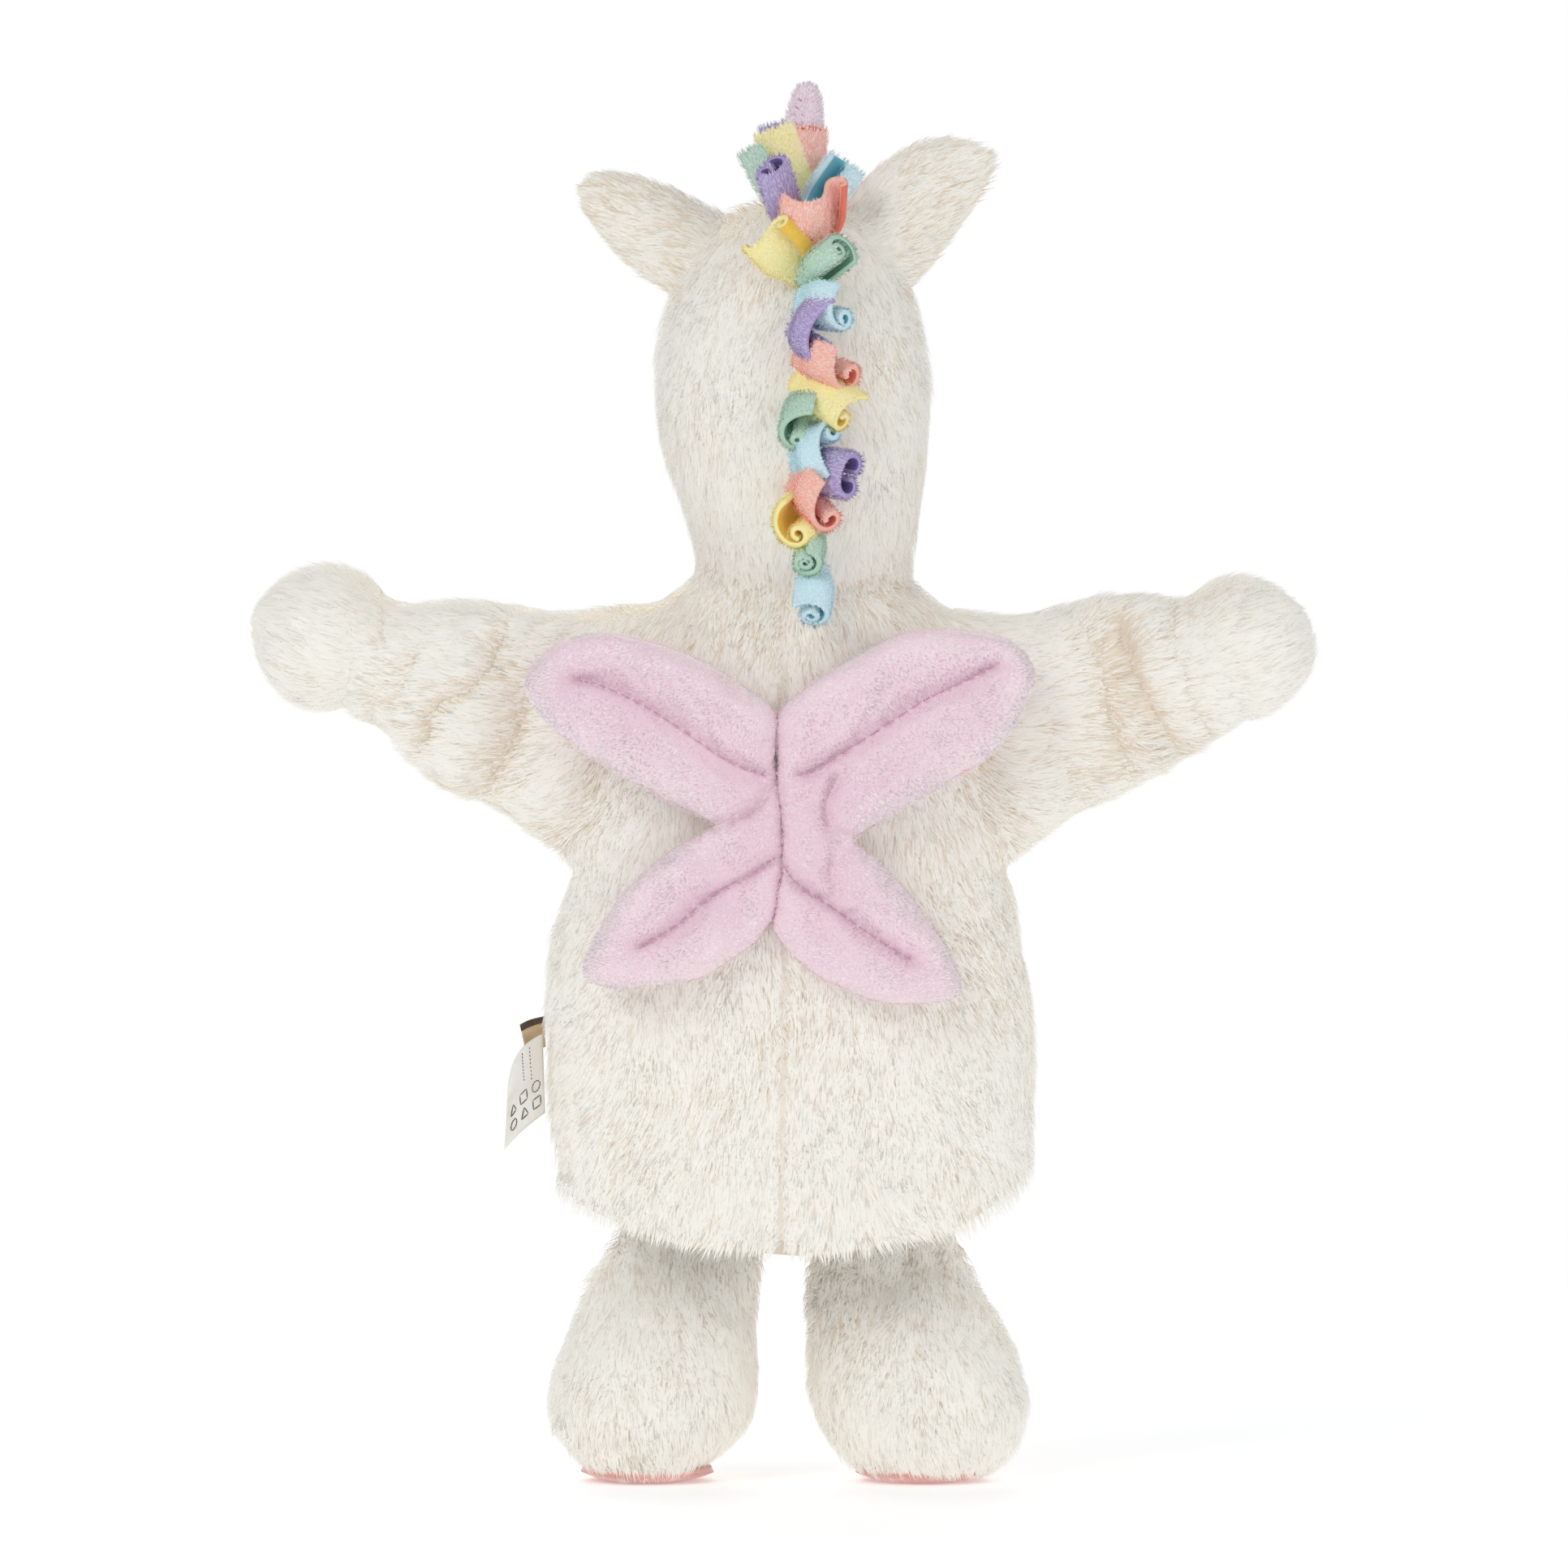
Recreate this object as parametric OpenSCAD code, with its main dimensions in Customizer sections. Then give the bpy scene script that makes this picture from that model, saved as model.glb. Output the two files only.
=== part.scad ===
// Plush unicorn glove puppet, built as a sewer would cut it: fur panels, lining, stuffed head,
// hooves and feet, quilted wings and a mane of rolled strips.
// Frame: +Z up through the head, the back of the puppet faces +Y, its own left side is +X.
// The origin is the centre of the hand opening, level with the lowest point of the hem.

/* [Body sleeve] */
// Half width of the sleeve at its widest, near the hem
body_half_w = 59.5; // [50:0.5:72]
// Half depth of the sleeve, seam to back
body_half_d = 23; // [20:0.5:28]
// Height of the neck crease above the hem
neck_z = 166; // [138:1:200]
// Rise of the rounded hem from the centre to the side seam
hem_rise = 27; // [15:1:35]
// Thickness of the fur fabric with its pile pressed down
fur_t = 3.6; // [2.5:0.1:4.5]
// Thickness of the lining
lining_t = 0.8; // [0.5:0.1:1.2]
// Depth of the binding sewn round the hem
binding_h = 2.6; // [2:0.1:4]

/* [Head] */
// Half width of the head
head_half_w = 32.5; // [29:0.5:39]
// Depth of the head behind its middle
head_back_d = 27.5; // [25:0.5:31]
// Depth of the face in front of the middle
head_face_d = 33; // [30:0.5:37]
// Height of the head above the neck crease
head_h = 93; // [77:1:112]
// Sideways lean of the head
head_shift = -2; // [-4:0.5:4]
// Radius of the finger pocket in the head
finger_r = 9; // [8:0.1:9.6]
// Depth of the finger pocket
finger_depth = 46; // [36:1:52]
// Wall of the finger pocket
finger_wall = 1.2; // [0.8:0.1:1.4]
// How far the muzzle stands out of the face
muzzle_len = 24; // [18:0.5:30]
// Radius of the eyes
eye_r = 4.2; // [3:0.1:5]

/* [Horn and ears] */
// Length of the horn
horn_len = 38; // [32:0.5:46]
// Radius of the horn at the forehead
horn_r = 6.6; // [5.5:0.1:7]
// Radius of the horn's round tip
horn_tip_r = 3.4; // [2.8:0.1:4]
// Length of the left ear
left_ear_len = 31; // [26:0.5:36]
// Length of the right ear
right_ear_len = 33.5; // [26:0.5:38]
// Widest part of the left ear (the right ear is cut a little wider)
ear_w = 23; // [18:0.5:24]
// Thickness of the fur at the back of an ear
ear_t = 3.4; // [2.6:0.1:4]

/* [Arms] */
// Reach of an arm from the shoulder to the wrist seam
arm_len = 48.8; // [41:0.2:59]
// Half height of the arm sleeve at its widest
arm_half_h = 24; // [18:0.5:24]
// Half depth of the arm sleeve
arm_half_d = 12; // [10.5:0.5:12.5]
// Upward slope of the arms, in degrees
arm_slope = 18.7; // [12:0.1:20]
// Radius of a stuffed hoof
hoof_r = 17.3; // [14:0.1:21]

/* [Legs] */
// Height of a leg from the hip seam to the sole
leg_h = 50.5; // [42:0.5:61]
// Half width of a foot
foot_half_w = 25; // [21:0.5:25.5]
// Half length of a foot, heel to toe
foot_half_d = 23; // [20:0.5:26]
// Thickness of a sole
sole_t = 2.5; // [1.5:0.1:4]

/* [Wings] */
// Reach of the upper wing lobe from the back seam
wing_reach = 62; // [52:1:66]
// Thickness of the wing padding
wing_pad_t = 5; // [3:0.5:8]
// Thickness of the wing velour
velour_t = 1.6; // [1:0.1:2.2]

/* [Mane] */
// Number of rolled strips
mane_count = 20; // [20]
// Length of a rolled strip
curl_len = 14; // [10:0.5:16]
// Radius of a roll at its open end
curl_r = 3.3; // [2.8:0.1:3.3]
// Radius of a roll where it enters the seam
curl_root_r = 2.6; // [2:0.1:2.8]

/* [Labels] */
// Height of the care label along the side seam
label_h = 17; // [12:0.5:20]
// Thickness of a folded label
label_t = 1; // [0.6:0.1:1.4]

/* [Hidden] */
SIDES = ["left", "right"];
function curl_name(i) = str("mane_curl_", i < 9 ? "0" : "", i + 1);

gap = 0.4;             // free play between neighbouring soft pieces
seam_gap = 0.3;        // half the slit that a closed seam leaves
lining_gap = 1.5;      // free play between the lining and the fur's backing
cream = "#EDE8DC";
shade = "#DDD2C2";
pink = "#E9C3D8";
blush = "#E8B8AE";
mane_colours = ["#A58CC4", "#F7A996", "#F8EE84", "#A9CDB8", "#BFE3EF"];
ring_n = 20;
half_cols = 6;

// ---------- lofted soft solids ----------

function quad(a, b, c, d) = [[a, b, c], [a, c, d]];
function flat(list) = [for (part = list) each part];

// An open panel with thickness, from two grids of rows by columns; columns run to the right
// and rows run up as the panel is seen from outside.
module slab(outer, inner) {
    rows = len(outer) - 1;
    cols = len(outer[0]) - 1;
    n = (rows + 1) * (cols + 1);
    function o(r, c) = r * (cols + 1) + c;
    function i(r, c) = n + o(r, c);
    polyhedron(
        points = concat(flat(outer), flat(inner)),
        faces = flat(concat(
            [for (r = [0 : rows - 1], c = [0 : cols - 1]) quad(o(r, c), o(r + 1, c), o(r + 1, c + 1), o(r, c + 1))],
            [for (r = [0 : rows - 1], c = [0 : cols - 1]) quad(i(r, c), i(r, c + 1), i(r + 1, c + 1), i(r + 1, c))],
            [for (c = [0 : cols - 1]) quad(o(0, c), o(0, c + 1), i(0, c + 1), i(0, c))],
            [for (c = [0 : cols - 1]) quad(o(rows, c + 1), o(rows, c), i(rows, c), i(rows, c + 1))],
            [for (r = [0 : rows - 1]) quad(o(r + 1, 0), o(r, 0), i(r, 0), i(r + 1, 0))],
            [for (r = [0 : rows - 1]) quad(o(r, cols), o(r + 1, cols), i(r + 1, cols), i(r, cols))]
        )));
}

// Triangles of the wall round stacked rings of n points, starting at point k.
function wall(n, rows, k = 0) = flat([for (r = [0 : rows - 2], c = [0 : n - 1])
    quad(k + r * n + c, k + (r + 1) * n + c, k + (r + 1) * n + (c + 1) % n, k + r * n + (c + 1) % n)]);
function turned(faces) = [for (f = faces) [f[2], f[1], f[0]]];
// A flat cap over ring r, as a fan; up says which way it looks.
function cap(n, r, up, k = 0) = [for (c = [1 : n - 2])
    up ? [k + r * n, k + r * n + c + 1, k + r * n + c] : [k + r * n, k + r * n + c, k + r * n + c + 1]];

module loft(rings) {
    n = len(rings[0]);
    rows = len(rings);
    polyhedron(points = flat(rings),
               faces = concat(wall(n, rows), cap(n, 0, false), cap(n, rows - 1, true)));
}

// A hollow loft: closed at its last ring and open at its first.
module cup(outer, inner) {
    n = len(outer[0]);
    rows = len(outer);
    k = n * rows;
    rim = flat([for (c = [0 : n - 1]) quad(c, (c + 1) % n, k + (c + 1) % n, k + c)]);
    polyhedron(points = concat(flat(outer), flat(inner)),
               faces = concat(wall(n, rows), cap(n, rows - 1, true), rim,
                              turned(concat(wall(n, rows, k), cap(n, rows - 1, true, k)))));
}

// Ring at height z: centre, half sizes.
function ring(z, c, r, n = ring_n) =
    [for (i = [0 : n - 1]) [c[0] + r[0] * cos(360 * i / n), c[1] + r[1] * sin(360 * i / n), z]];

// Rings for a list of stations [z, centre x, centre y, half x, half y], drawn in by inset.
function rings(stations, inset = 0) = [for (s = stations)
    ring(s[0], [s[1], s[2]], [max(s[3] - inset, 0.4), max(s[4] - inset, 0.4)])];

// ---------- body sleeve ----------

// Share of the half width at each share of the neck's height.
sleeve_width = [[0, 1], [0.24, 1], [0.35, 0.985], [0.42, 0.96], [0.52, 0.905], [0.585, 0.87],
                [0.905, 0.84], [0.955, 0.70], [0.978, 0.55], [1, 0.44]];
sleeve_depth = [[0, 0.87], [0.2, 1], [0.6, 1], [0.85, 0.94], [1, 0.87]];
arm_slot_x = body_half_w - 22.5;  // the panels stop here beside the arms
arm_slot_low = neck_z * 0.600;
arm_slot_high = neck_z * 0.940;
hem_blend = 45;                  // the hem's curve dies out at this height
throat_drop = 12;                // the front panel stops short of the neck, so that the head can nod
nape_drop = 5.5;
side_phi = 89.4;                 // where the side seam lies, in degrees from the middle

function sleeve_w(z) = body_half_w * lookup(z / neck_z, sleeve_width);
function sleeve_d(z) = body_half_d * lookup(z / neck_z, sleeve_depth);
function in_slot(z) = z > arm_slot_low && z < arm_slot_high;
function phi_max(z) = in_slot(z) ? asin(arm_slot_x / sleeve_w(z)) : side_phi;
function sleeve_z(z, phi, back) =
    z + hem_rise * (1 - cos(phi)) * max(0, 1 - z / hem_blend)
      - (back > 0 ? nape_drop : throat_drop) * cos(phi) * max(0, (z / neck_z - 0.9) * 10);
function sleeve_point(z, phi, back, inset) = [
    (sleeve_w(z) - inset) * sin(phi),
    back * (sleeve_d(z) - inset) * cos(phi),
    sleeve_z(z, phi, back)
];
// Rows of the panels, with a close pair at each end of the arm slot.
panel_rows = [for (t = [0, 0.05, 0.11, 0.18, 0.27, 0.36, 0.45, 0.53, 0.595]) t * neck_z,
              arm_slot_low + 0.5, neck_z * 0.70, neck_z * 0.79, neck_z * 0.87,
              arm_slot_high - 0.5, neck_z * 0.945, neck_z * 0.975, neck_z * 0.995];
lining_rows = [for (t = [0.02, 0.11, 0.27, 0.45, 0.595]) t * neck_z,
               arm_slot_low + 0.5, neck_z * 0.79, arm_slot_high - 2];

// Grid between two shares of phi_max; u runs from -1 to 1 across the panel.
function sleeve_grid(rows, u0, u1, cols, back, inset) = [for (z = rows) [for (c = [0 : cols])
    sleeve_point(z, (u0 + (u1 - u0) * c / cols) * phi_max(z), back, inset)]];

module back_half() {
    slab(sleeve_grid(panel_rows, 1, seam_gap / 45, half_cols, 1, 0),
         sleeve_grid(panel_rows, 1, seam_gap / 45, half_cols, 1, fur_t));
}
module back_panel_left() { color(cream) back_half(); }
module back_panel_right() { color(cream) mirror([1, 0, 0]) back_half(); }
module front_panel() {
    color(cream)
    slab(sleeve_grid(panel_rows, -1, 1, 2 * half_cols, -1, 0),
         sleeve_grid(panel_rows, -1, 1, 2 * half_cols, -1, fur_t));
}
// Front and back halves of the bag that the hand goes into.
module hand_lining() {
    near = fur_t + lining_gap;
    color("#F4F1EA")
    for (back = [1, -1])
        slab(sleeve_grid(lining_rows, back, -back, 2 * half_cols, back, near),
             sleeve_grid(lining_rows, back, -back, 2 * half_cols, back, near + lining_t));
}
// A tape under the raw edge, half on the back and half on the front.
module hem_binding() {
    function edge(back, drop, inset) = [for (c = [0 : 2 * half_cols])
        let (p = sleeve_point(0, back * (1 - c / half_cols) * side_phi, back, inset)) p - [0, 0, drop]];
    color(shade)
    for (back = [1, -1])
        slab([edge(back, binding_h, 1), edge(back, gap, 1)],
             [edge(back, binding_h, fur_t - 1), edge(back, gap, fur_t - 1)]);
}

// ---------- head ----------

head_z = neck_z + 2;             // lower edge of the head's fur
head_top = head_z + head_h - 1.5;
head_mid = head_z + 0.47 * head_h;
skin_k = 0.90;                   // the inside of the head's fur, as a share of the outside
stuffing_k = 0.885;
head_width = [[0, 0.77], [0.11, 0.82], [0.2, 0.90], [0.3, 0.955], [0.4, 0.99], [0.48, 1],
              [0.57, 0.985], [0.66, 0.94], [0.75, 0.86], [0.84, 0.72], [0.92, 0.52], [0.97, 0.33], [1, 0.05]];
head_behind = [[0, 0.73], [0.2, 0.86], [0.4, 0.98], [0.5, 1], [0.66, 0.96], [0.78, 0.84],
               [0.88, 0.65], [0.95, 0.44], [1, 0.05]];
head_before = [[0, 0.60], [0.1, 0.70], [0.2, 0.86], [0.35, 0.98], [0.5, 1], [0.66, 0.93], [0.78, 0.78],
               [0.88, 0.57], [0.95, 0.38], [1, 0.05]];
head_rows = [0, 0.09, 0.2, 0.33, 0.48, 0.62, 0.75, 0.85, 0.92, 0.97, 1];

function head_w(t) = head_half_w * lookup(t, head_width);
function head_d(t, back) = back > 0 ? head_back_d * lookup(t, head_behind) : head_face_d * lookup(t, head_before);
function head_point(t, phi, back, k) = [
    head_shift + k * head_w(t) * sin(phi),
    back * k * head_d(t, back) * cos(phi),
    head_mid + k * (head_z + t * (head_top - head_z) - head_mid)
];
function head_grid(u0, u1, cols, back, k) = [for (t = head_rows) [for (c = [0 : cols])
    head_point(t, (u0 + (u1 - u0) * c / cols) * side_phi, back, k)]];

module head_back_left() {
    color(cream) slab(head_grid(1, 0.006, half_cols, 1, 1), head_grid(1, 0.006, half_cols, 1, skin_k));
}
module head_back_right() {
    color(cream) slab(head_grid(-0.006, -1, half_cols, 1, 1), head_grid(-0.006, -1, half_cols, 1, skin_k));
}
module face_panel() {
    color(cream)
    difference() {
        slab(head_grid(-1, 1, 2 * half_cols, -1, 1), head_grid(-1, 1, 2 * half_cols, -1, skin_k));
        for (s = [-1, 1])
            eye_frame(s) translate([0, 0, -washer_in])
                cylinder(r = eye_stem_r + gap, h = 2 * washer_in, $fn = 24);
    }
}
finger_axis = [head_shift, 2];
finger_low = head_z + 3;
function stuffing_ring(t, n = 4 * half_cols) = [for (c = [0 : n - 1]) let (a = 360 * c / n) [
    head_shift + stuffing_k * head_w(t) * cos(a),
    stuffing_k * head_d(t, sin(a) > 0 ? 1 : -1) * sin(a),
    head_point(t, 0, 1, stuffing_k)[2]
]];
module head_stuffing() {
    color("white")
    difference() {
        loft([for (t = head_rows) stuffing_ring(t)]);
        translate([finger_axis[0], finger_axis[1], head_z - 1])
            cylinder(r = finger_r + finger_wall + gap, h = finger_low - head_z + finger_depth + finger_wall + gap + 1, $fn = 48);
        for (s = [-1, 1])
            eye_frame(s) translate([0, 0, -washer_in - 1 - gap])
                cylinder(r = washer_r + gap, h = 2 * washer_in, $fn = 32);
    }
}
// A closed fabric pocket for the index finger, with its mouth down.
module finger_tube() {
    color("#F4F1EA")
    translate([finger_axis[0], finger_axis[1], finger_low])
    difference() {
        cylinder(r = finger_r + finger_wall, h = finger_depth + finger_wall, $fn = 48);
        translate([0, 0, -1]) cylinder(r = finger_r, h = finger_depth + 1, $fn = 48);
    }
}

muzzle_z = head_z + 0.33 * head_h;
muzzle_y = -head_face_d - gap;
module muzzle() {
    shape = [[0, 0.92, 0.92], [0.25, 1, 1], [0.58, 0.92, 0.94], [0.84, 0.66, 0.68], [1, 0.3, 0.3]];
    half_w = 18;
    half_h = 15;
    color(pink)
    translate([head_shift, muzzle_y, muzzle_z]) rotate([90, 0, 0])
        loft(rings([for (s = shape) [s[0] * muzzle_len, 0, 0, s[1] * half_w, s[2] * half_h]]));
}
// Two nostrils and a smile, worked on the muzzle.
module face_embroidery() {
    thread_r = 0.6;
    smile_r = 7;
    color("#B98AA6")
    translate([head_shift, muzzle_y - muzzle_len, muzzle_z]) {
        for (s = [-1, 1])
            translate([s * 6, 0, 2]) rotate([90, 0, 0]) cylinder(r = 1.5, h = 0.8, $fn = 24);
        translate([0, -thread_r - gap, 2]) rotate([90, 0, 0]) rotate([0, 0, 215])
            rotate_extrude(angle = 110, $fn = 48) translate([smile_r, 0]) circle(r = thread_r, $fn = 16);
    }
}

// A domed eye on a stem, with the washer that locks it behind the fur.
washer_in = 6;
washer_r = 4.5;
eye_stem_r = 1.4;
module eye_frame(s) {
    phi = 40;
    translate(head_point(0.5, s * phi, -1, 1)) rotate([0, 0, s * (phi - 4)]) rotate([90, 0, 0]) children();
}
module eye(s) {
    color("#1A1614")
    eye_frame(s) {
        intersection() {
            translate([0, 0, -eye_r * 0.4]) sphere(r = eye_r * 1.08, $fn = 48);
            translate([0, 0, 0.8]) cylinder(r = eye_r * 1.2, h = eye_r * 2);
        }
        translate([0, 0, -washer_in - 1]) cylinder(r = eye_stem_r, h = washer_in + 2, $fn = 24);
        translate([0, 0, -washer_in]) cylinder(r = washer_r, h = 1, $fn = 24);
    }
}
module left_eye() { eye(1); }
module right_eye() { eye(-1); }

// ---------- horn ----------

horn_base = [head_shift - 3, -15, head_top - 0.058 * head_h];
horn_lean = [20, -1, 0];         // leans forward off the brow
module horn_shape(r0, r1, h) {
    rotate_extrude($fn = 48)
        intersection() {
            union() {
                polygon([[0, 0], [r0, 0], [r1, h - r1], [0, h - r1]]);
                translate([0, h - r1]) circle(r = r1, $fn = 32);
            }
            square([2 * r0, h + 1]);
        }
}
module horn_cover() {
    color(pink)
    translate(horn_base) rotate(horn_lean)
    difference() {
        horn_shape(horn_r, horn_tip_r, horn_len);
        translate([0, 0, -0.01]) horn_shape(horn_r - velour_t, horn_tip_r - velour_t, horn_len - velour_t);
    }
}
module horn_stuffing() {
    color("white")
    translate(horn_base) rotate(horn_lean) translate([0, 0, gap])
        horn_shape(horn_r - velour_t - gap, horn_tip_r - velour_t - gap, horn_len - velour_t - 3 * gap);
}

// ---------- ears ----------

// Where each ear's base meets the head, as a share of the head's half width and of its height.
ear_at = [[head_shift + 0.74 * head_half_w, -2, head_z + 0.853 * head_h],
          [head_shift - 0.63 * head_half_w, -2, head_z + 0.875 * head_h]];
ear_angle = [31, 43];            // above the horizontal
ear_len = [left_ear_len, right_ear_len];
ear_half_w = [ear_w / 2, ear_w * 0.58];
ear_tip_r = [5, 7.5];
function ear_outline(i) = let (h = ear_len[i], w = ear_half_w[i], tip = ear_tip_r[i])
    [[0, -w * 0.8], [h * 0.25, -w], [h * 0.6, -w * 0.82], [h - tip, -tip * 0.9],
     for (a = [-60 : 20 : 60]) [h - tip + tip * cos(a), tip * sin(a)],
     [h - tip, tip * 0.9], [h * 0.6, w * 0.82], [h * 0.25, w], [0, w * 0.8]];
module ear_layer(i, y0, t, k) {
    s = i == 0 ? 1 : -1;
    translate(ear_at[i]) mirror([s < 0 ? 1 : 0, 0, 0]) rotate([0, -ear_angle[i], 0])
        translate([0, y0 + t, 0]) rotate([90, 0, 0]) linear_extrude(t)
            polygon([for (p = ear_outline(i)) [k * (p[0] - 2) + 2, k * p[1]]]);
}
module ear_back(i) { color(shade) ear_layer(i, 0, ear_t, 1); }
module ear_inner(i) { color(pink) ear_layer(i, -velour_t - 0.2, velour_t, 0.86); }

// ---------- arms ----------

shoulder = [body_half_w - 9.5, 0, 0.7711 * neck_z];
arm_fit_h = min(arm_half_h, 0.145 * neck_z);     // the arm never outgrows its slot
wrist_gap = 0.5;
module arm_frame(i) {
    mirror([i, 0, 0]) translate(shoulder) rotate([0, -arm_slope, 0]) children();
}
// Stations along the arm: distance, drop of its middle, half height, half depth.
function arm_stations(inset, close) = [for (s = [[-6, 0, 0.80, 0.72], [2, 0, 0.98, 0.97], [12, 0, 1, 1],
        [25, 2, 0.97, 1], [38, 3.5, 0.83, 1], [45, 3.5, 0.70, 0.92], [arm_len - wrist_gap, 1, 0.5, 0.75]])
    [min(s[0] * arm_len / 48.8, arm_len - wrist_gap - close), s[1], 0,
     s[2] * arm_fit_h - inset, s[3] * arm_half_d - inset]];
// Open at the shoulder and closed at the wrist; the rings stand on end and run outwards.
module arm_sleeve(i) {
    wall_t = fur_t - 0.6;
    color(cream)
    arm_frame(i) rotate([0, 90, 0])
        cup(rings(arm_stations(0, 0)), rings(arm_stations(wall_t, wall_t)));
}
hoof_centre = arm_len + hoof_r + 1;
module hoof_cover(i) {
    color(cream)
    arm_frame(i) translate([hoof_centre, 0, 0])
    difference() {
        sphere(r = hoof_r, $fn = 64);
        sphere(r = hoof_r - fur_t + 0.6, $fn = 64);
    }
}
module hoof_stuffing(i) {
    color("white")
    arm_frame(i) translate([hoof_centre, 0, 0]) sphere(r = hoof_r - fur_t + 0.6 - gap, $fn = 64);
}

// ---------- legs ----------

hip = [body_half_w - 33.5, 4 - body_half_d, -5.5];   // the stitched fold that the leg swings about
// Stations from the hip down: depth, outward shift, backward shift, half width, half depth.
leg_shape = [[0, 0, 0, 0.58, 0.085], [0.1, 1, 0, 0.70, 0.32], [0.24, 3, 0, 0.83, 0.56], [0.42, 5, -0.5, 0.95, 0.82],
             [0.6, 6.5, -1, 1, 0.97], [0.78, 6.5, -1, 0.98, 1], [0.92, 6, -1, 0.90, 0.96], [1, 6, -1, 0.80, 0.88]];
function leg_stations(inset, top, drop) = [for (s = leg_shape)
    [min(-s[0] * leg_h, -top) - (s[0] == 1 ? drop : 0), s[1], s[2],
     s[3] * foot_half_w - inset, s[4] * foot_half_d - min(inset, s[4] * foot_half_d - 1)]];
function upward(list) = [for (k = [len(list) - 1 : -1 : 0]) list[k]];
module leg_frame(i) {
    mirror([i, 0, 0]) translate([hip[0], hip[1], hip[2]]) children();
}
// Fur tube, closed at the hip and open where the sole is sewn in.
module leg_cover(i) {
    wall_t = fur_t - 0.4;
    color(cream)
    leg_frame(i) cup(rings(upward(leg_stations(0, 0, 0))), rings(upward(leg_stations(wall_t, wall_t + 1.5, 0))));
}
module leg_stuffing(i) {
    wall_t = fur_t - 0.4 + gap;
    color("white")
    leg_frame(i) translate([0, 0, gap]) loft(rings(upward(leg_stations(wall_t, wall_t + 2.5, -gap))));
}
module leg_sole(i) {
    color(blush)
    leg_frame(i) translate([6, -1, -leg_h - gap - sole_t]) linear_extrude(sole_t)
        polygon([for (a = [0 : 15 : 345]) [0.8 * foot_half_w * cos(a), 0.88 * foot_half_d * sin(a)]]);
}

// ---------- wings ----------

wing_root_gap = 2;               // half the space between the two wings at their seam
wing_root = [wing_root_gap, body_half_d + 3.2];
// Outline of one wing in X and Z, from the top of its root round both lobes, for a neck 166 mm up
// and a reach of 62 mm.
wing_outline = [[0, 133], [11, 139], [25, 147], [42, 152.5], [54, 151], [61, 145], [62, 137], [56, 128],
                [41, 118], [24, 110], [15.5, 106], [23, 101], [35, 94], [43.5, 84], [48.5, 74], [49.5, 67],
                [45, 64], [34, 64], [20, 67], [8, 73.5], [1.5, 81], [0, 95]];
module wing_layer(i, y0, t, inset) {
    mirror([i, 0, 0]) translate([wing_root[0], wing_root[1] + y0 + t, 0]) rotate([90, 0, 0]) linear_extrude(t)
        polygon([for (p = wing_outline) [min(max(p[0] * (wing_reach - wing_root_gap) / 62, inset),
                                             wing_reach - wing_root_gap - inset), p[1] * neck_z / 166]]);
}
module wing_front(i) { color(pink) wing_layer(i, 0, velour_t, 0); }
module wing_padding(i) { color("white") wing_layer(i, velour_t + 0.1, wing_pad_t, 0.8); }
module wing_back(i) { color(pink) wing_layer(i, velour_t + wing_pad_t + 0.2, velour_t, 0); }

// ---------- mane ----------

// Line of the mane's seam over the nape, the back of the head and the crown, in Y and Z.
function scalp(t) = [head_d(t, 1), head_z + t * (head_top - head_z)];
mane_line = concat([for (t = [0.01, 0.12, 0.3, 0.5, 0.66, 0.78, 0.88, 0.95]) scalp(t)],
                   [[3.5, head_top - 0.5], [-4, head_top - 0.5]]);
function step_len(p, k) = norm(p[k + 1] - p[k]);
function walk(p, s, k = 0) = k >= len(p) - 2 || s <= step_len(p, k)
    ? [p[k] + (p[k + 1] - p[k]) * s / step_len(p, k), (p[k + 1] - p[k]) / step_len(p, k)]
    : walk(p, s - step_len(p, k), k + 1);
function line_len(p, k = 0) = k >= len(p) - 1 ? 0 : step_len(p, k) + line_len(p, k + 1);
// Sideways splay of each strip, crown first; positive leans to the puppet's left.
curl_splay = [28, -14, 16, 48, -48, 30, -26, 58, -52, -40, -58, -38, -56, 44, -40, -62, -38, 48, -8, 4];
mane_lift = 0.7;
mane_pitch = line_len(mane_line) / mane_count;
roll_r = min(curl_r, mane_pitch / 2 - 0.15);
roll_root_r = min(curl_root_r, roll_r - 0.2);
module mane_curl(i) {
    s = (mane_count - 1 - i + 0.5) * mane_pitch;
    at = walk(mane_line, s);
    p = at[0];
    up = at[1];
    out = [up[1], -up[0]];       // off the surface, in Y and Z
    tilt = atan2(out[1], out[0]);
    color(mane_colours[i % 5])
    translate([head_shift - 1.5, p[0] + out[0] * mane_lift, p[1] + out[1] * mane_lift])
        rotate([tilt, 0, 0]) rotate([0, 0, -curl_splay[i]])
        translate([0, roll_root_r * abs(sin(curl_splay[i])), 0]) rotate([-90, 0, 0])
            cylinder(r1 = roll_root_r, r2 = roll_r, h = curl_len, $fn = 32);
}

// ---------- labels ----------

label_z = neck_z * 0.21;
module care_label() {
    x = sleeve_w(label_z) + 0.8;
    color("#F3F1EC")
    translate([x, label_t / 2, label_z]) rotate([90, 0, 0]) linear_extrude(label_t)
        polygon([[0, label_h], [0, 0.2 * label_h], [4, -0.1 * label_h], [8.5, -0.62 * label_h], [8, 0.3 * label_h]]);
}
module brand_tab() {
    x = sleeve_w(label_z) + 0.3;
    color("#CDB48C")
    translate([x, -label_t - 1.2, label_z + 0.8 * label_h]) rotate([90, 0, 0]) linear_extrude(label_t)
        polygon([[0, 0], [3.2, -1], [4.6, 4], [0, 6]]);
}

// ---------- the assembly ----------

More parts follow.
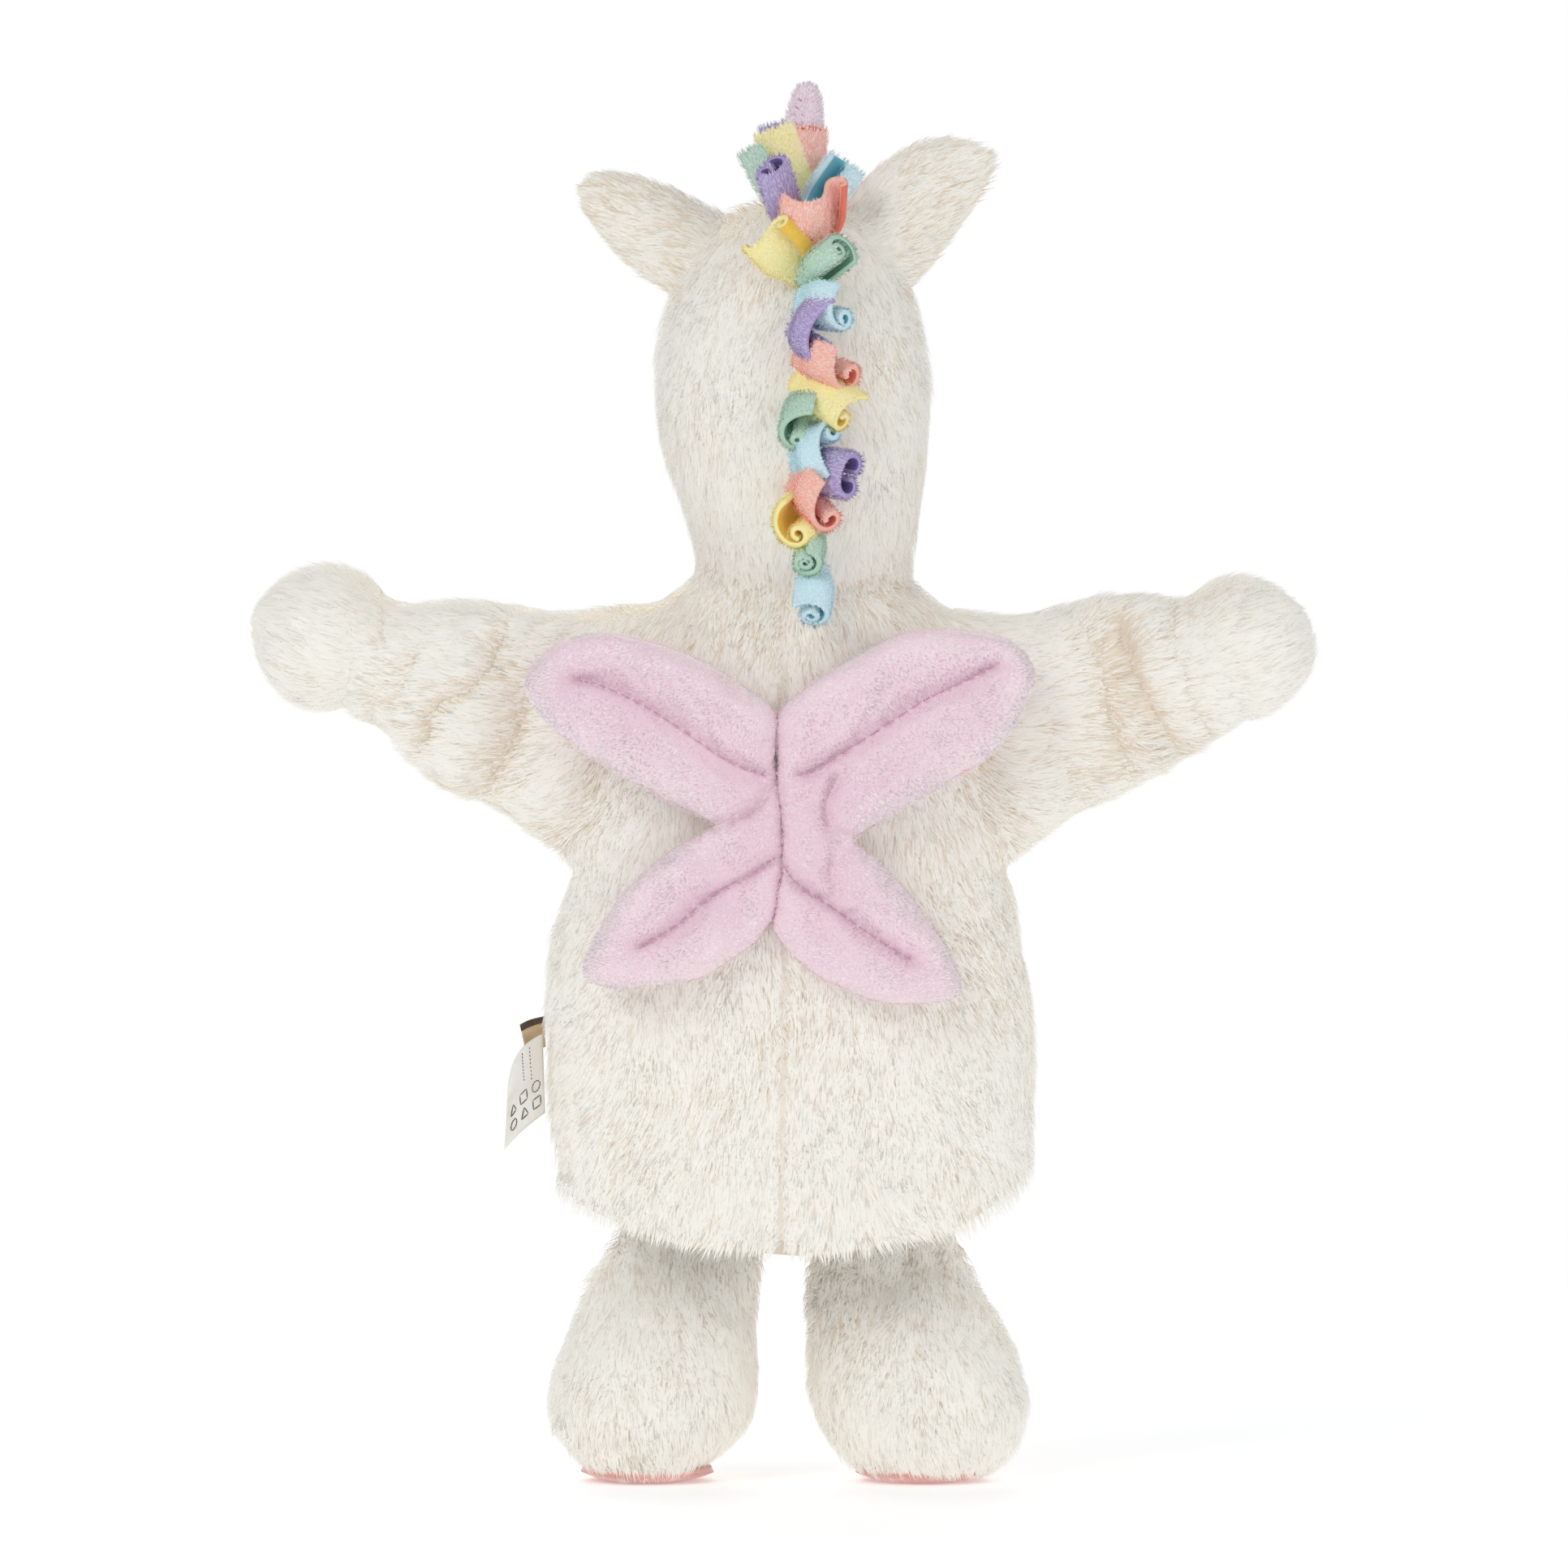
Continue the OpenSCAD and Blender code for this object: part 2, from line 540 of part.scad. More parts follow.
back_panel_left();
back_panel_right();
front_panel();
hand_lining();
hem_binding();
brand_tab();
care_label();
head_back_left();
head_back_right();
face_panel();
muzzle();
head_stuffing();
finger_tube();
horn_cover();
horn_stuffing();
left_eye();
right_eye();
face_embroidery();
for (i = [0, 1]) {
    ear_back(i);
    ear_inner(i);
    arm_sleeve(i);
    hoof_cover(i);
    hoof_stuffing(i);
    leg_cover(i);
    leg_sole(i);
    leg_stuffing(i);
    wing_back(i);
    wing_front(i);
    wing_padding(i);
}
for (i = [0 : mane_count - 1])
    mane_curl(i);
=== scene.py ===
# %% [markdown]
# # A plush unicorn glove puppet
# The puppet is sewn from long-pile faux fur over a hand-sized sleeve, with a stuffed head, hooves
# and feet, quilted velour wings and a mane of rolled minky strips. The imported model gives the
# bodies that move and the room each piece has; this file builds the soft surfaces round them.
# The back of the puppet faces +Y, its own left side is +X, and the camera looks at its back.

# %% Load the frame
import math
import bmesh
import bpy
import numpy as np
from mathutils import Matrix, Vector, geometry
from mathutils.kdtree import KDTree


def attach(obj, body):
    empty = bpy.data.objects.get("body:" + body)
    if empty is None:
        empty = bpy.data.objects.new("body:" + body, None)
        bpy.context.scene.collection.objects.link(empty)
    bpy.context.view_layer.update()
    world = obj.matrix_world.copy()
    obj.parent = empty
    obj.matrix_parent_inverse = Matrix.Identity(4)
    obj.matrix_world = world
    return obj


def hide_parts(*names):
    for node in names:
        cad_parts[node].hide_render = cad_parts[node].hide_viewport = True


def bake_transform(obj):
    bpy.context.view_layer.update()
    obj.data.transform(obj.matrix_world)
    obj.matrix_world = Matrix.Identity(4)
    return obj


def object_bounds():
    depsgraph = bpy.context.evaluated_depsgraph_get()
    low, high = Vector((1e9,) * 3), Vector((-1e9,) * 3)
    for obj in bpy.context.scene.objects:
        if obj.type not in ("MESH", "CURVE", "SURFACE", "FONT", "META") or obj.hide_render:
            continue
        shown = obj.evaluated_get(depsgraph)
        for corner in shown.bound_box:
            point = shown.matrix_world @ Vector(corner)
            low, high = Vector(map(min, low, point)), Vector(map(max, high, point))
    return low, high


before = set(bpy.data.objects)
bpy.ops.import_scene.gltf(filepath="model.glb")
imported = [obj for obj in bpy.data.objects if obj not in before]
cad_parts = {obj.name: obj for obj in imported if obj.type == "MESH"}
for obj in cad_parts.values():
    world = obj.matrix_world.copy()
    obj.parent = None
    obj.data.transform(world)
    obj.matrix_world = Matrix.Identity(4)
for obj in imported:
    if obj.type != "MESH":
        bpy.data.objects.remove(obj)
CAD_BOX = [list(corner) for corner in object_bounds()]
MM = 0.001
print("CAD box in mm:", np.round(np.array(CAD_BOX) / MM, 1).tolist())

# %% [markdown]
# ## Small tools
# Soft shapes are easiest to describe by ribs: pairs of edge points with a depth in front of and
# behind the line between them. A smooth curve through the ribs gives as many as the mesh needs.
# A table of random numbers, read with smooth steps, gives the gentle unevenness of sewn fabric.

# %% Curves, noise and meshes
def smooth(low, high, x):
    t = np.clip((x - low) / (high - low), 0, 1)
    return t * t * (3 - 2 * t)


def through(rows, count, closed=False):
    """Points on a Catmull-Rom curve through the rows."""
    p = np.array(rows, float)
    n = len(p)
    t = np.linspace(0, n if closed else n - 1, count, endpoint=not closed)
    i = np.minimum(t.astype(int), n - 1 if closed else n - 2)
    f = (t - i)[:, None]
    at = (lambda k: p[k % n]) if closed else (lambda k: p[np.clip(k, 0, n - 1)])
    a, b, c, d = at(i - 1), at(i), at(i + 1), at(i + 2)
    return 0.5 * (2 * b + (c - a) * f + (2 * a - 5 * b + 4 * c - d) * f**2 + (3 * b - a - 3 * c + d) * f**3)


def drawn(line, count):
    """A curve through a line's points, or the line itself when it has only two."""
    return through(line, count) if len(line) > 2 else np.array(line, float)


def noise(points, size, seed):
    """Smooth random values from -1 to 1 at points in mm, with bumps about one size across."""
    grid = np.random.default_rng(seed).uniform(-1, 1, (24, 24, 24))
    q = points / size + 1000
    cell = np.floor(q).astype(int)
    f = q - cell
    f = f * f * (3 - 2 * f)
    total = 0
    for corner in np.ndindex(2, 2, 2):
        weight = np.prod(np.where(corner, f, 1 - f), axis=1)
        total = total + weight * grid[tuple(((cell + corner) % 24).T)]
    return total


def noise3(points, size, seed):
    """A smooth random direction: three noises with neighbouring seeds."""
    return np.stack([noise(points, size, seed + k) for k in range(3)], 1)


def unit(v):
    return v / np.maximum(np.linalg.norm(v, axis=-1, keepdims=True), 1e-9)


def net(rows, columns, closed=True, hoop=False):
    """Faces over rows of points; closed joins the last column to the first, hoop the last row."""
    return [(r * columns + k, r * columns + (k + 1) % columns,
             (r + 1) % rows * columns + (k + 1) % columns, (r + 1) % rows * columns + k)
            for r in range(rows if hoop else rows - 1) for k in range(columns if closed else columns - 1)]


def mesh_object(name, points, faces, material=None):
    """A new object from points in mm and a list of faces."""
    mesh = bpy.data.meshes.new(name)
    mesh.from_pydata((np.asarray(points) * MM).tolist(), [], [list(map(int, f)) for f in faces])
    mesh.update()
    mesh.shade_smooth()
    obj = bpy.data.objects.new(name, mesh)
    bpy.context.scene.collection.objects.link(obj)
    if material:
        mesh.materials.append(material)
    return obj


def read_mesh(obj):
    """Corner points in mm, their normals, and the triangles of an object's mesh."""
    mesh = obj.data
    mesh.calc_loop_triangles()
    points = np.empty(len(mesh.vertices) * 3)
    normals = np.empty(len(mesh.vertices) * 3)
    triangles = np.empty(len(mesh.loop_triangles) * 3, int)
    mesh.vertices.foreach_get("co", points)
    mesh.vertex_normals.foreach_get("vector", normals)
    mesh.loop_triangles.foreach_get("vertices", triangles)
    return points.reshape(-1, 3) / MM, normals.reshape(-1, 3), triangles.reshape(-1, 3)


def circle(count):
    """Angles evenly round a full turn."""
    return np.linspace(0, 2 * np.pi, count, endpoint=False)


def squarish(count, power):
    """A round outline that gets squarer as power rises above 2."""
    c, s = np.cos(circle(count)), np.sin(circle(count))
    return np.sign(c) * np.abs(c) ** (2 / power), np.sign(s) * np.abs(s) ** (2 / power)


def capped(rings, sides):
    """Faces of a closed form made of rings, with a lid at each end."""
    return net(rings, sides) + [tuple(range(sides))[::-1], tuple(range((rings - 1) * sides, rings * sides))]


def ribs(sections, rings, sides, power=2.0):
    """Points and faces of a closed soft form: sections are (x, z, x, z, front, back)."""
    s = through(sections, rings)
    c, d = squarish(sides, power)
    middle = (s[:, None, 0:2] + s[:, None, 2:4]) / 2
    half = (s[:, None, 0:2] - s[:, None, 2:4]) / 2
    flat = middle + half * c[None, :, None]
    depth = np.where(d > 0, s[:, 5:6], s[:, 4:5]) * d[None, :]
    points = np.dstack([flat[:, :, 0], depth, flat[:, :, 1]]).reshape(-1, 3)
    return points, capped(rings, sides)


def joined(parts):
    """One list of points and faces from several."""
    points, faces, start = [], [], 0
    for p, f in parts:
        points.append(p)
        faces += [tuple(start + k for k in face) for face in f]
        start += len(p)
    return np.vstack(points), faces


def set_points(obj, points):
    """Moves the corners of an object's mesh to points in mm."""
    obj.data.vertices.foreach_set("co", (points * MM).ravel())
    obj.data.update()


def area_of(obj):
    return sum(p.area for p in obj.data.polygons)


def applied(obj):
    """Bakes the object's modifiers into its mesh."""
    graph = bpy.context.evaluated_depsgraph_get()
    mesh = bpy.data.meshes.new_from_object(obj.evaluated_get(graph))
    obj.modifiers.clear()
    old, obj.data = obj.data, mesh
    bpy.data.meshes.remove(old)
    mesh.shade_smooth()
    return obj


def thicken(obj, thickness, offset=-1):
    """Gives cloth its thickness in mm: inwards at -1, both ways at 0, outwards at 1."""
    layer = obj.modifiers.new("thick", "SOLIDIFY")
    layer.thickness = thickness * MM
    layer.offset = offset
    return applied(obj)


def outward(obj):
    """Turns the faces of a closed mesh to face outwards."""
    bm = bmesh.new()
    bm.from_mesh(obj.data)
    bmesh.ops.recalc_face_normals(bm, faces=bm.faces)
    bm.to_mesh(obj.data)
    bm.free()
    return obj

# %% [markdown]
# ## Fur colours
# The fibres are off-white at the tips and painted a little warmer and darker towards the backing,
# as painted shade deep in the pile, and no two fibres are quite alike. Every fibre owns one small
# square of a map, so a random number per square and the height in the square give each fibre its
# own random tone and the painted shade from root to tip.

# %% The mottling group, shared by all fabrics
def node_group(name, inputs, outputs):
    """A new node group with its inputs and outputs, and the nodes that stand for them."""
    group = bpy.data.node_groups.new(name, "ShaderNodeTree")
    for label, kind, value in inputs:
        socket = group.interface.new_socket(label, in_out="INPUT", socket_type=kind)
        socket.default_value = value
    for label, kind in outputs:
        group.interface.new_socket(label, in_out="OUTPUT", socket_type=kind)
    return group, group.nodes.new("NodeGroupInput"), group.nodes.new("NodeGroupOutput")


def operating(tree, kind, operation):
    """A new maths node of a kind, set to one operation."""
    node = tree.nodes.new(kind)
    node.operation = operation
    return node


def build_mottle():
    """Patches and fine grain, mixed between a light and a dark colour."""
    group, given, out = node_group(
        "Fabric mottle",
        [("Light", "NodeSocketColor", (1, 1, 1, 1)), ("Dark", "NodeSocketColor", (0.5, 0.5, 0.5, 1)),
         ("Patch Scale", "NodeSocketFloat", 60.0), ("Grain Scale", "NodeSocketFloat", 900.0)],
        [("Color", "NodeSocketColor"), ("Height", "NodeSocketFloat")])
    new, link = group.nodes.new, group.links.new
    place = new("ShaderNodeTexCoord")
    patch, grain = new("ShaderNodeTexNoise"), new("ShaderNodeTexNoise")
    for texture, scale in ((patch, "Patch Scale"), (grain, "Grain Scale")):
        link(place.outputs["Object"], texture.inputs["Vector"])
        link(given.outputs[scale], texture.inputs["Scale"])
    patch.inputs["Detail"].default_value = 4
    grain.inputs["Detail"].default_value = 2
    add = operating(group, "ShaderNodeMath", "MULTIPLY_ADD")
    add.inputs[1].default_value = 0.45
    link(grain.outputs["Fac"], add.inputs[0])
    link(patch.outputs["Fac"], add.inputs[2])
    spread = new("ShaderNodeMapRange")
    spread.inputs["From Min"].default_value = 0.5
    spread.inputs["From Max"].default_value = 0.95
    link(add.outputs[0], spread.inputs["Value"])
    mix = new("ShaderNodeMix")
    mix.data_type = "RGBA"
    link(spread.outputs["Result"], mix.inputs["Factor"])
    link(given.outputs["Light"], mix.inputs["A"])
    link(given.outputs["Dark"], mix.inputs["B"])
    link(mix.outputs["Result"], out.inputs["Color"])
    link(grain.outputs["Fac"], out.inputs["Height"])
    return group


MOTTLE = build_mottle()


def fabric(name, light, dark, patch=60, grain=900, bump=0.3, reach=0.0004, sheen=0.3, roughness=0.9):
    """A cloth material: mottled colour, grain in relief and a soft sheen."""
    material = bpy.data.materials.new(name)
    material.use_nodes = True
    tree = material.node_tree
    shader = tree.nodes["Principled BSDF"]
    shader.inputs["Roughness"].default_value = roughness
    shader.inputs["Sheen Weight"].default_value = sheen
    shader.inputs["Sheen Roughness"].default_value = 0.5
    shader.inputs["Specular IOR Level"].default_value = 0.2
    group = tree.nodes.new("ShaderNodeGroup")
    group.node_tree = MOTTLE
    group.inputs["Light"].default_value = (*light, 1)
    group.inputs["Dark"].default_value = (*dark, 1)
    group.inputs["Patch Scale"].default_value = patch
    group.inputs["Grain Scale"].default_value = grain
    relief = tree.nodes.new("ShaderNodeBump")
    relief.inputs["Strength"].default_value = bump
    relief.inputs["Distance"].default_value = reach
    tree.links.new(group.outputs["Color"], shader.inputs["Base Color"])
    tree.links.new(group.outputs["Height"], relief.inputs["Height"])
    tree.links.new(relief.outputs["Normal"], shader.inputs["Normal"])
    return material


# %% The fibre group and the pile material
def build_fibre():
    """A fibre's own random tone, graded from a darker root, painted shade, to its tip's colour."""
    group, given, out = node_group(
        "Fibre tone",
        [("Root", "NodeSocketColor", (0.5, 0.5, 0.5, 1)), ("Tip", "NodeSocketColor", (1, 1, 1, 1)),
         ("Squares", "NodeSocketFloat", 100.0), ("Variation", "NodeSocketFloat", 0.15)],
        [("Color", "NodeSocketColor")])
    new, link = group.nodes.new, group.links.new
    place = new("ShaderNodeUVMap")
    place.uv_map = "OFBake"
    scaled = operating(group, "ShaderNodeVectorMath", "SCALE")
    link(place.outputs["UV"], scaled.inputs[0])
    link(given.outputs["Squares"], scaled.inputs["Scale"])
    floor = operating(group, "ShaderNodeVectorMath", "FLOOR")
    link(scaled.outputs[0], floor.inputs[0])
    rest = operating(group, "ShaderNodeVectorMath", "FRACTION")
    link(scaled.outputs[0], rest.inputs[0])
    height = new("ShaderNodeSeparateXYZ")
    link(rest.outputs[0], height.inputs[0])
    chance = new("ShaderNodeTexWhiteNoise")
    chance.noise_dimensions = "2D"
    link(floor.outputs[0], chance.inputs["Vector"])
    shift = operating(group, "ShaderNodeMath", "MULTIPLY_ADD")
    link(chance.outputs["Value"], shift.inputs[0])
    link(given.outputs["Variation"], shift.inputs[1])
    link(height.outputs["Y"], shift.inputs[2])
    mix = new("ShaderNodeMix")
    mix.data_type = "RGBA"
    link(shift.outputs[0], mix.inputs["Factor"])
    link(given.outputs["Root"], mix.inputs["A"])
    link(given.outputs["Tip"], mix.inputs["B"])
    link(mix.outputs["Result"], out.inputs["Color"])
    return group


FIBRE = build_fibre()


def pile_material(name, root, tip, squares, variation=0.3, sheen=0.2):
    """Fibres that shine on the side that faces out and glow through from behind."""
    material = bpy.data.materials.new(name)
    material.use_nodes = True
    tree = material.node_tree
    shader = tree.nodes["Principled BSDF"]
    shader.inputs["Roughness"].default_value = 0.75
    shader.inputs["Specular IOR Level"].default_value = 0.25
    shader.inputs["Sheen Weight"].default_value = sheen
    group = tree.nodes.new("ShaderNodeGroup")
    group.node_tree = FIBRE
    group.inputs["Root"].default_value = (*root, 1)
    group.inputs["Tip"].default_value = (*tip, 1)
    group.inputs["Squares"].default_value = squares
    group.inputs["Variation"].default_value = variation
    through_light = tree.nodes.new("ShaderNodeBsdfTranslucent")
    sides = tree.nodes.new("ShaderNodeMixShader")
    link = tree.links.new
    link(group.outputs["Color"], shader.inputs["Base Color"])
    link(group.outputs["Color"], through_light.inputs["Color"])
    link(tree.nodes.new("ShaderNodeNewGeometry").outputs["Backfacing"], sides.inputs["Fac"])
    link(shader.outputs[0], sides.inputs[1])
    link(through_light.outputs[0], sides.inputs[2])
    link(sides.outputs[0], tree.nodes["Material Output"].inputs["Surface"])
    return material


def srgb(*levels):
    """A screen colour of 0 to 255 as light."""
    return tuple((k / 255 / 12.92) if k < 11 else ((k / 255 + 0.055) / 1.055) ** 2.4 for k in levels)


# The darker root colours of this and every other pile are painted shade deep in the pile. The backing is
# painted darker and warmer than the tips, as painted shade between the fibres.
CREAM_TIP = srgb(249, 247, 239)
CREAM_ROOT = srgb(240, 231, 217)
BACKING = fabric("fur_backing", srgb(244, 236, 224), srgb(232, 219, 202), 90, 700)

# %% [markdown]
# ## How the pile is grown
# A real pile fabric has thousands of fibres to the square centimetre. Hair particles would draw
# them, but they don't travel with the model, so each fibre is a thin bent blade of real mesh. It
# rises from the backing and then lies along the nap. Fibres lean together in small locks, because
# handling felts them, and the blades' normals follow the fabric, which keeps the light soft.

# %% Growing a pile on a surface
# The share of fibres that lead a lock, and how unevenly the locks catch the light.
LOCK_SHARE, LOCK_TILT = 0.055, 0.07


def scatter(points, normals, triangles, count, seed):
    """Random places on a mesh: position, normal, and the places' share of the area in mm2."""
    draw = np.random.default_rng(seed)
    a, b, c = (points[triangles[:, k]] for k in range(3))
    area = np.linalg.norm(np.cross(b - a, c - a), axis=1) / 2
    pick = draw.choice(len(area), count, p=area / area.sum())
    u, v = draw.random((2, count, 1))
    u, v = np.where(u + v > 1, 1 - u, u), np.where(u + v > 1, 1 - v, v)
    place = a[pick] + u * (b - a)[pick] + v * (c - a)[pick]
    na, nb, nc = (normals[triangles[pick, k]] for k in range(3))
    return place, unit(na + u * (nb - na) + v * (nc - na)), area.sum()


def blades(name, root, normal, lie, length, rise, width, lock, material_of, seed, lock_size=3.2):
    """Fibres as bent tapering blades. lie is the nap's direction at each root, lock how firmly
    fibres within lock_size of a lock's middle lean to it."""
    draw = np.random.default_rng(seed)
    n = len(root)
    lie = unit(lie - (lie * normal).sum(1, keepdims=True) * normal)
    lie = unit(lie + draw.normal(0, 0.16, (n, 3)))
    lie = unit(lie - (lie * normal).sum(1, keepdims=True) * normal)
    size = length * draw.uniform(0.72, 1.12, n)
    up = rise * draw.uniform(0.6, 1.35, n)
    middle = root + lie * (0.36 * size)[:, None] + normal * (0.78 * up)[:, None]
    tip = root + lie * size[:, None] + normal * up[:, None]
    locks = max(8, int(n * LOCK_SHARE))
    chosen = draw.choice(n, locks, replace=False)
    tree = KDTree(locks)
    for k, c in enumerate(chosen):
        tree.insert(root[c], k)
    tree.balance()
    nearest = chosen[[tree.find(r)[1] for r in root]]
    aim = tip[nearest] + 0.25 * (root - root[nearest])
    near = np.linalg.norm(root - root[nearest], axis=1) < lock_size
    pull = np.where(near, lock * draw.uniform(0.3, 1.0, n), 0)[:, None]
    tip = tip + (aim - tip) * pull
    middle = middle + (aim - tip) * pull * 0.25
    side = unit(np.cross(tip - root, normal) + draw.normal(0, 0.25, (n, 3)) * size[:, None] * 0.4)
    w = (width * draw.uniform(0.75, 1.25, n))[:, None]
    half = side * w / 2
    corners = np.stack([root - half, root + half, middle + half, middle - half, tip], 1)
    facing = unit(normal + 0.15 * lie + draw.normal(0, LOCK_TILT, (n, 3))[nearest])
    left, right = unit(facing - 0.25 * side), unit(facing + 0.25 * side)
    shade = np.stack([left, right, right, left, facing], 1)
    squares = math.ceil(math.sqrt(n))
    # Five corners, and a square and a triangle with seven face corners between them, for each blade.
    mesh = bpy.data.meshes.new(name)
    mesh.vertices.add(5 * n)
    mesh.vertices.foreach_set("co", (corners * MM).astype(np.float32).ravel())
    number = np.arange(n)[:, None]
    mesh.loops.add(7 * n)
    corner_order = 5 * number + np.array([0, 1, 2, 3, 3, 2, 4])
    mesh.loops.foreach_set("vertex_index", corner_order.astype(np.int32).ravel())
    mesh.polygons.add(2 * n)
    mesh.polygons.foreach_set("loop_start", (7 * number + np.array([0, 4])).astype(np.int32).ravel())
    mesh.update(calc_edges=True)
    uv = mesh.uv_layers.new(name="OFBake")
    u = np.array([0.25, 0.75, 0.75, 0.25, 0.25, 0.75, 0.5])
    v = np.array([0.12, 0.12, 0.5, 0.5, 0.5, 0.5, 0.88])
    flat = np.stack([(number % squares + u) / squares, (number // squares + v) / squares], 2)
    uv.data.foreach_set("uv", flat.astype(np.float32).ravel())
    mesh.shade_smooth()
    mesh.normals_split_custom_set_from_vertices(shade.reshape(-1, 3).astype(np.float32))
    obj = bpy.data.objects.new(name, mesh)
    bpy.context.scene.collection.objects.link(obj)
    mesh.materials.append(material_of(squares))
    obj.visible_shadow = False
    obj.visible_diffuse = False
    return obj

# %% [markdown]
# ## One skin for body, head and arms
# The glove's body, neck and sleeves run into each other without a hard edge, because the panels
# are sewn flat and then turned. Separate lofts are made for the sleeve, the head, the arms and the
# hooves; a voxel remesh welds them into one even skin, and a few rounds of smoothing round the
# joins as filling and seam allowance do. The hem is then cut open along its curve.

# %% Lofts for the sleeve, head, arms and hooves
# Each row: left x and z, right x and z, depth in front and depth behind, in mm.
TORSO = [
    (52, -16, -56, -16, 19, 19), (53, 0, -57.6, 0, 19.5, 19.5),
    (55.4, 20, -59.2, 20, 21, 21), (58.2, 38, -60.4, 38, 21.5, 21.5),
    (58.2, 58, -58.8, 58, 21.5, 21.5), (56, 76, -56, 76, 21.5, 21.5),
    (51.6, 92, -52.4, 92, 21.5, 21.5), (48, 110, -48, 110, 21, 21),
    (45, 130, -45, 130, 20.5, 20.5), (40, 148, -43, 148, 19.5, 19.5),
    (33, 156.4, -38, 156, 18, 18.5), (24.8, 163.4, -31.4, 163, 16, 17.5),
    (17.4, 172, -25.6, 172, 13, 15),
]
HEAD = [
    (19, 158, -28, 158, 14, 16), (20.2, 166, -29.2, 166, 17, 18),
    (21.4, 174, -30.4, 174, 20.5, 20.5), (24, 183, -32.2, 183, 25, 23),
    (27.2, 192, -33.4, 192, 28.8, 25), (29.6, 201, -34, 201, 30.8, 26.2),
    (30.4, 209, -34.2, 209, 31.2, 26.4), (30.2, 217, -33.4, 217, 30.8, 26),
    (29, 225, -32, 225, 29.4, 25), (26.8, 233, -30, 233, 26.6, 23),
    (23.6, 241, -27, 241, 22.6, 20), (18.8, 248.5, -22.6, 248.5, 17, 15.6),
    (12.6, 254, -16.6, 254, 11, 10.4), (5, 257, -9, 257, 5, 5),
]
# Each row of an arm: upper x and z, lower x and z, and one depth for both sides.
LEFT_ARM = [
    (14, 160, 18, 94, 14), (36, 158, 44, 93, 14), (53, 156.2, 57, 101, 13.5),
    (65, 157.2, 69, 110, 13), (77, 158.8, 79, 113.6, 12.8), (87, 158.8, 89, 119.4, 12.8),
    (94.5, 158.6, 98, 129.6, 13), (101, 159.6, 104, 132.4, 13.6),
]
RIGHT_ARM = [
    (-14, 159, -18, 94, 14), (-34, 157, -45, 93, 14), (-52, 154.8, -56.5, 100.8, 13.5),
    (-66.8, 156, -70, 108.8, 13), (-79, 158.8, -80.5, 113.4, 12.8), (-88, 158.8, -90.5, 118.6, 12.8),
    (-94.6, 158.2, -100.4, 125.4, 13), (-101, 158.6, -108, 130.6, 13.4),
]
# Each hoof: its centre (x, z) and its three radii.
HOOVES = {"left": ((112.8, 150.6), (16.2, 16.0, 16.2)), "right": ((-112.2, 148.2), (16.4, 15.6, 15.2))}


def widened(sections):
    return [(*row, row[-1]) for row in sections]


def egg(centre, radii, count=24):
    """A closed ellipsoid standing on Z."""
    rows = []
    for k in np.linspace(-0.97, 0.97, count):
        r = math.sqrt(1 - k * k)
        z = centre[1] + radii[2] * k
        rows.append((centre[0] + radii[0] * r, z, centre[0] - radii[0] * r, z, radii[1] * r, radii[1] * r))
    return ribs(rows, count, 40)


SLEEVE_POWER = 2.25
VOXEL = 2.1
skin_points, skin_faces = joined([
    ribs(TORSO, 60, 72, SLEEVE_POWER), ribs(HEAD, 60, 64, 2.08),
    ribs(widened(LEFT_ARM), 44, 48, 2.2), ribs(widened(RIGHT_ARM), 44, 48, 2.2),
    *[egg(c, r) for c, r in HOOVES.values()]])
skin = mesh_object("skin", skin_points, skin_faces)
remesh = skin.modifiers.new("weld", "REMESH")
remesh.mode = "VOXEL"
remesh.voxel_size = VOXEL * MM
ease = skin.modifiers.new("ease", "SMOOTH")
ease.factor = 0.5
ease.iterations = 6
applied(skin)
print("welded skin:", len(skin.data.vertices), "points")

# %% [markdown]
# ### Folds
# An empty sleeve buckles where it bends. Each fold is a line on the back of the arm: the cloth
# sinks along the line and swells beside it. Broad shallow valleys sit between them.

# %% Folds pressed into the skin
# Each fold: points (x, z) along it, depth, width, and how far it swells on its outer side, in mm.
FOLDS = [
    ([(68.2, 150), (71.6, 141), (78.5, 136), (84.0, 134.0), (86.4, 126)], 3.0, 2.4, 1.3),
    ([(89.0, 146), (92.0, 139), (94.0, 134)], 1.6, 1.7, 0.8),
    ([(61.6, 136), (64.8, 126), (71.0, 113)], 2.8, 4.6, 1.0),
    ([(94.6, 161), (96.6, 156), (97.4, 150)], 1.5, 2.0, 0.6),
    ([(97.6, 138), (98.8, 133), (100.0, 127)], 1.5, 2.0, 0.6),
    ([(-80.6, 153), (-83.4, 144), (-87.0, 135), (-94.6, 124)], 4.2, 2.4, 2.4),
    ([(-77.6, 148), (-78.0, 134), (-81.4, 120)], 2.8, 5.6, 0.2),
    ([(-92.0, 161), (-93.2, 148), (-96.4, 137), (-101.4, 128)], 1.7, 1.4, 1.0),
    ([(-62, 124), (-70, 116)], 1.4, 5.0, 0.3),
    ([(52, 104), (46, 112), (44, 124)], 1.6, 4.5, 0.5),
    ([(-52, 104), (-47, 112), (-46, 122)], 1.5, 4.5, 0.5),
    ([(26, 161), (34, 150)], 1.2, 4.0, 0.3),
    ([(-30, 160), (-38, 150)], 1.2, 4.0, 0.3),
    ([(22, 165), (4, 163.5), (-14, 163.5), (-30, 165)], 1.0, 4.0, 0.0),
]
SEAM_X = 0.6


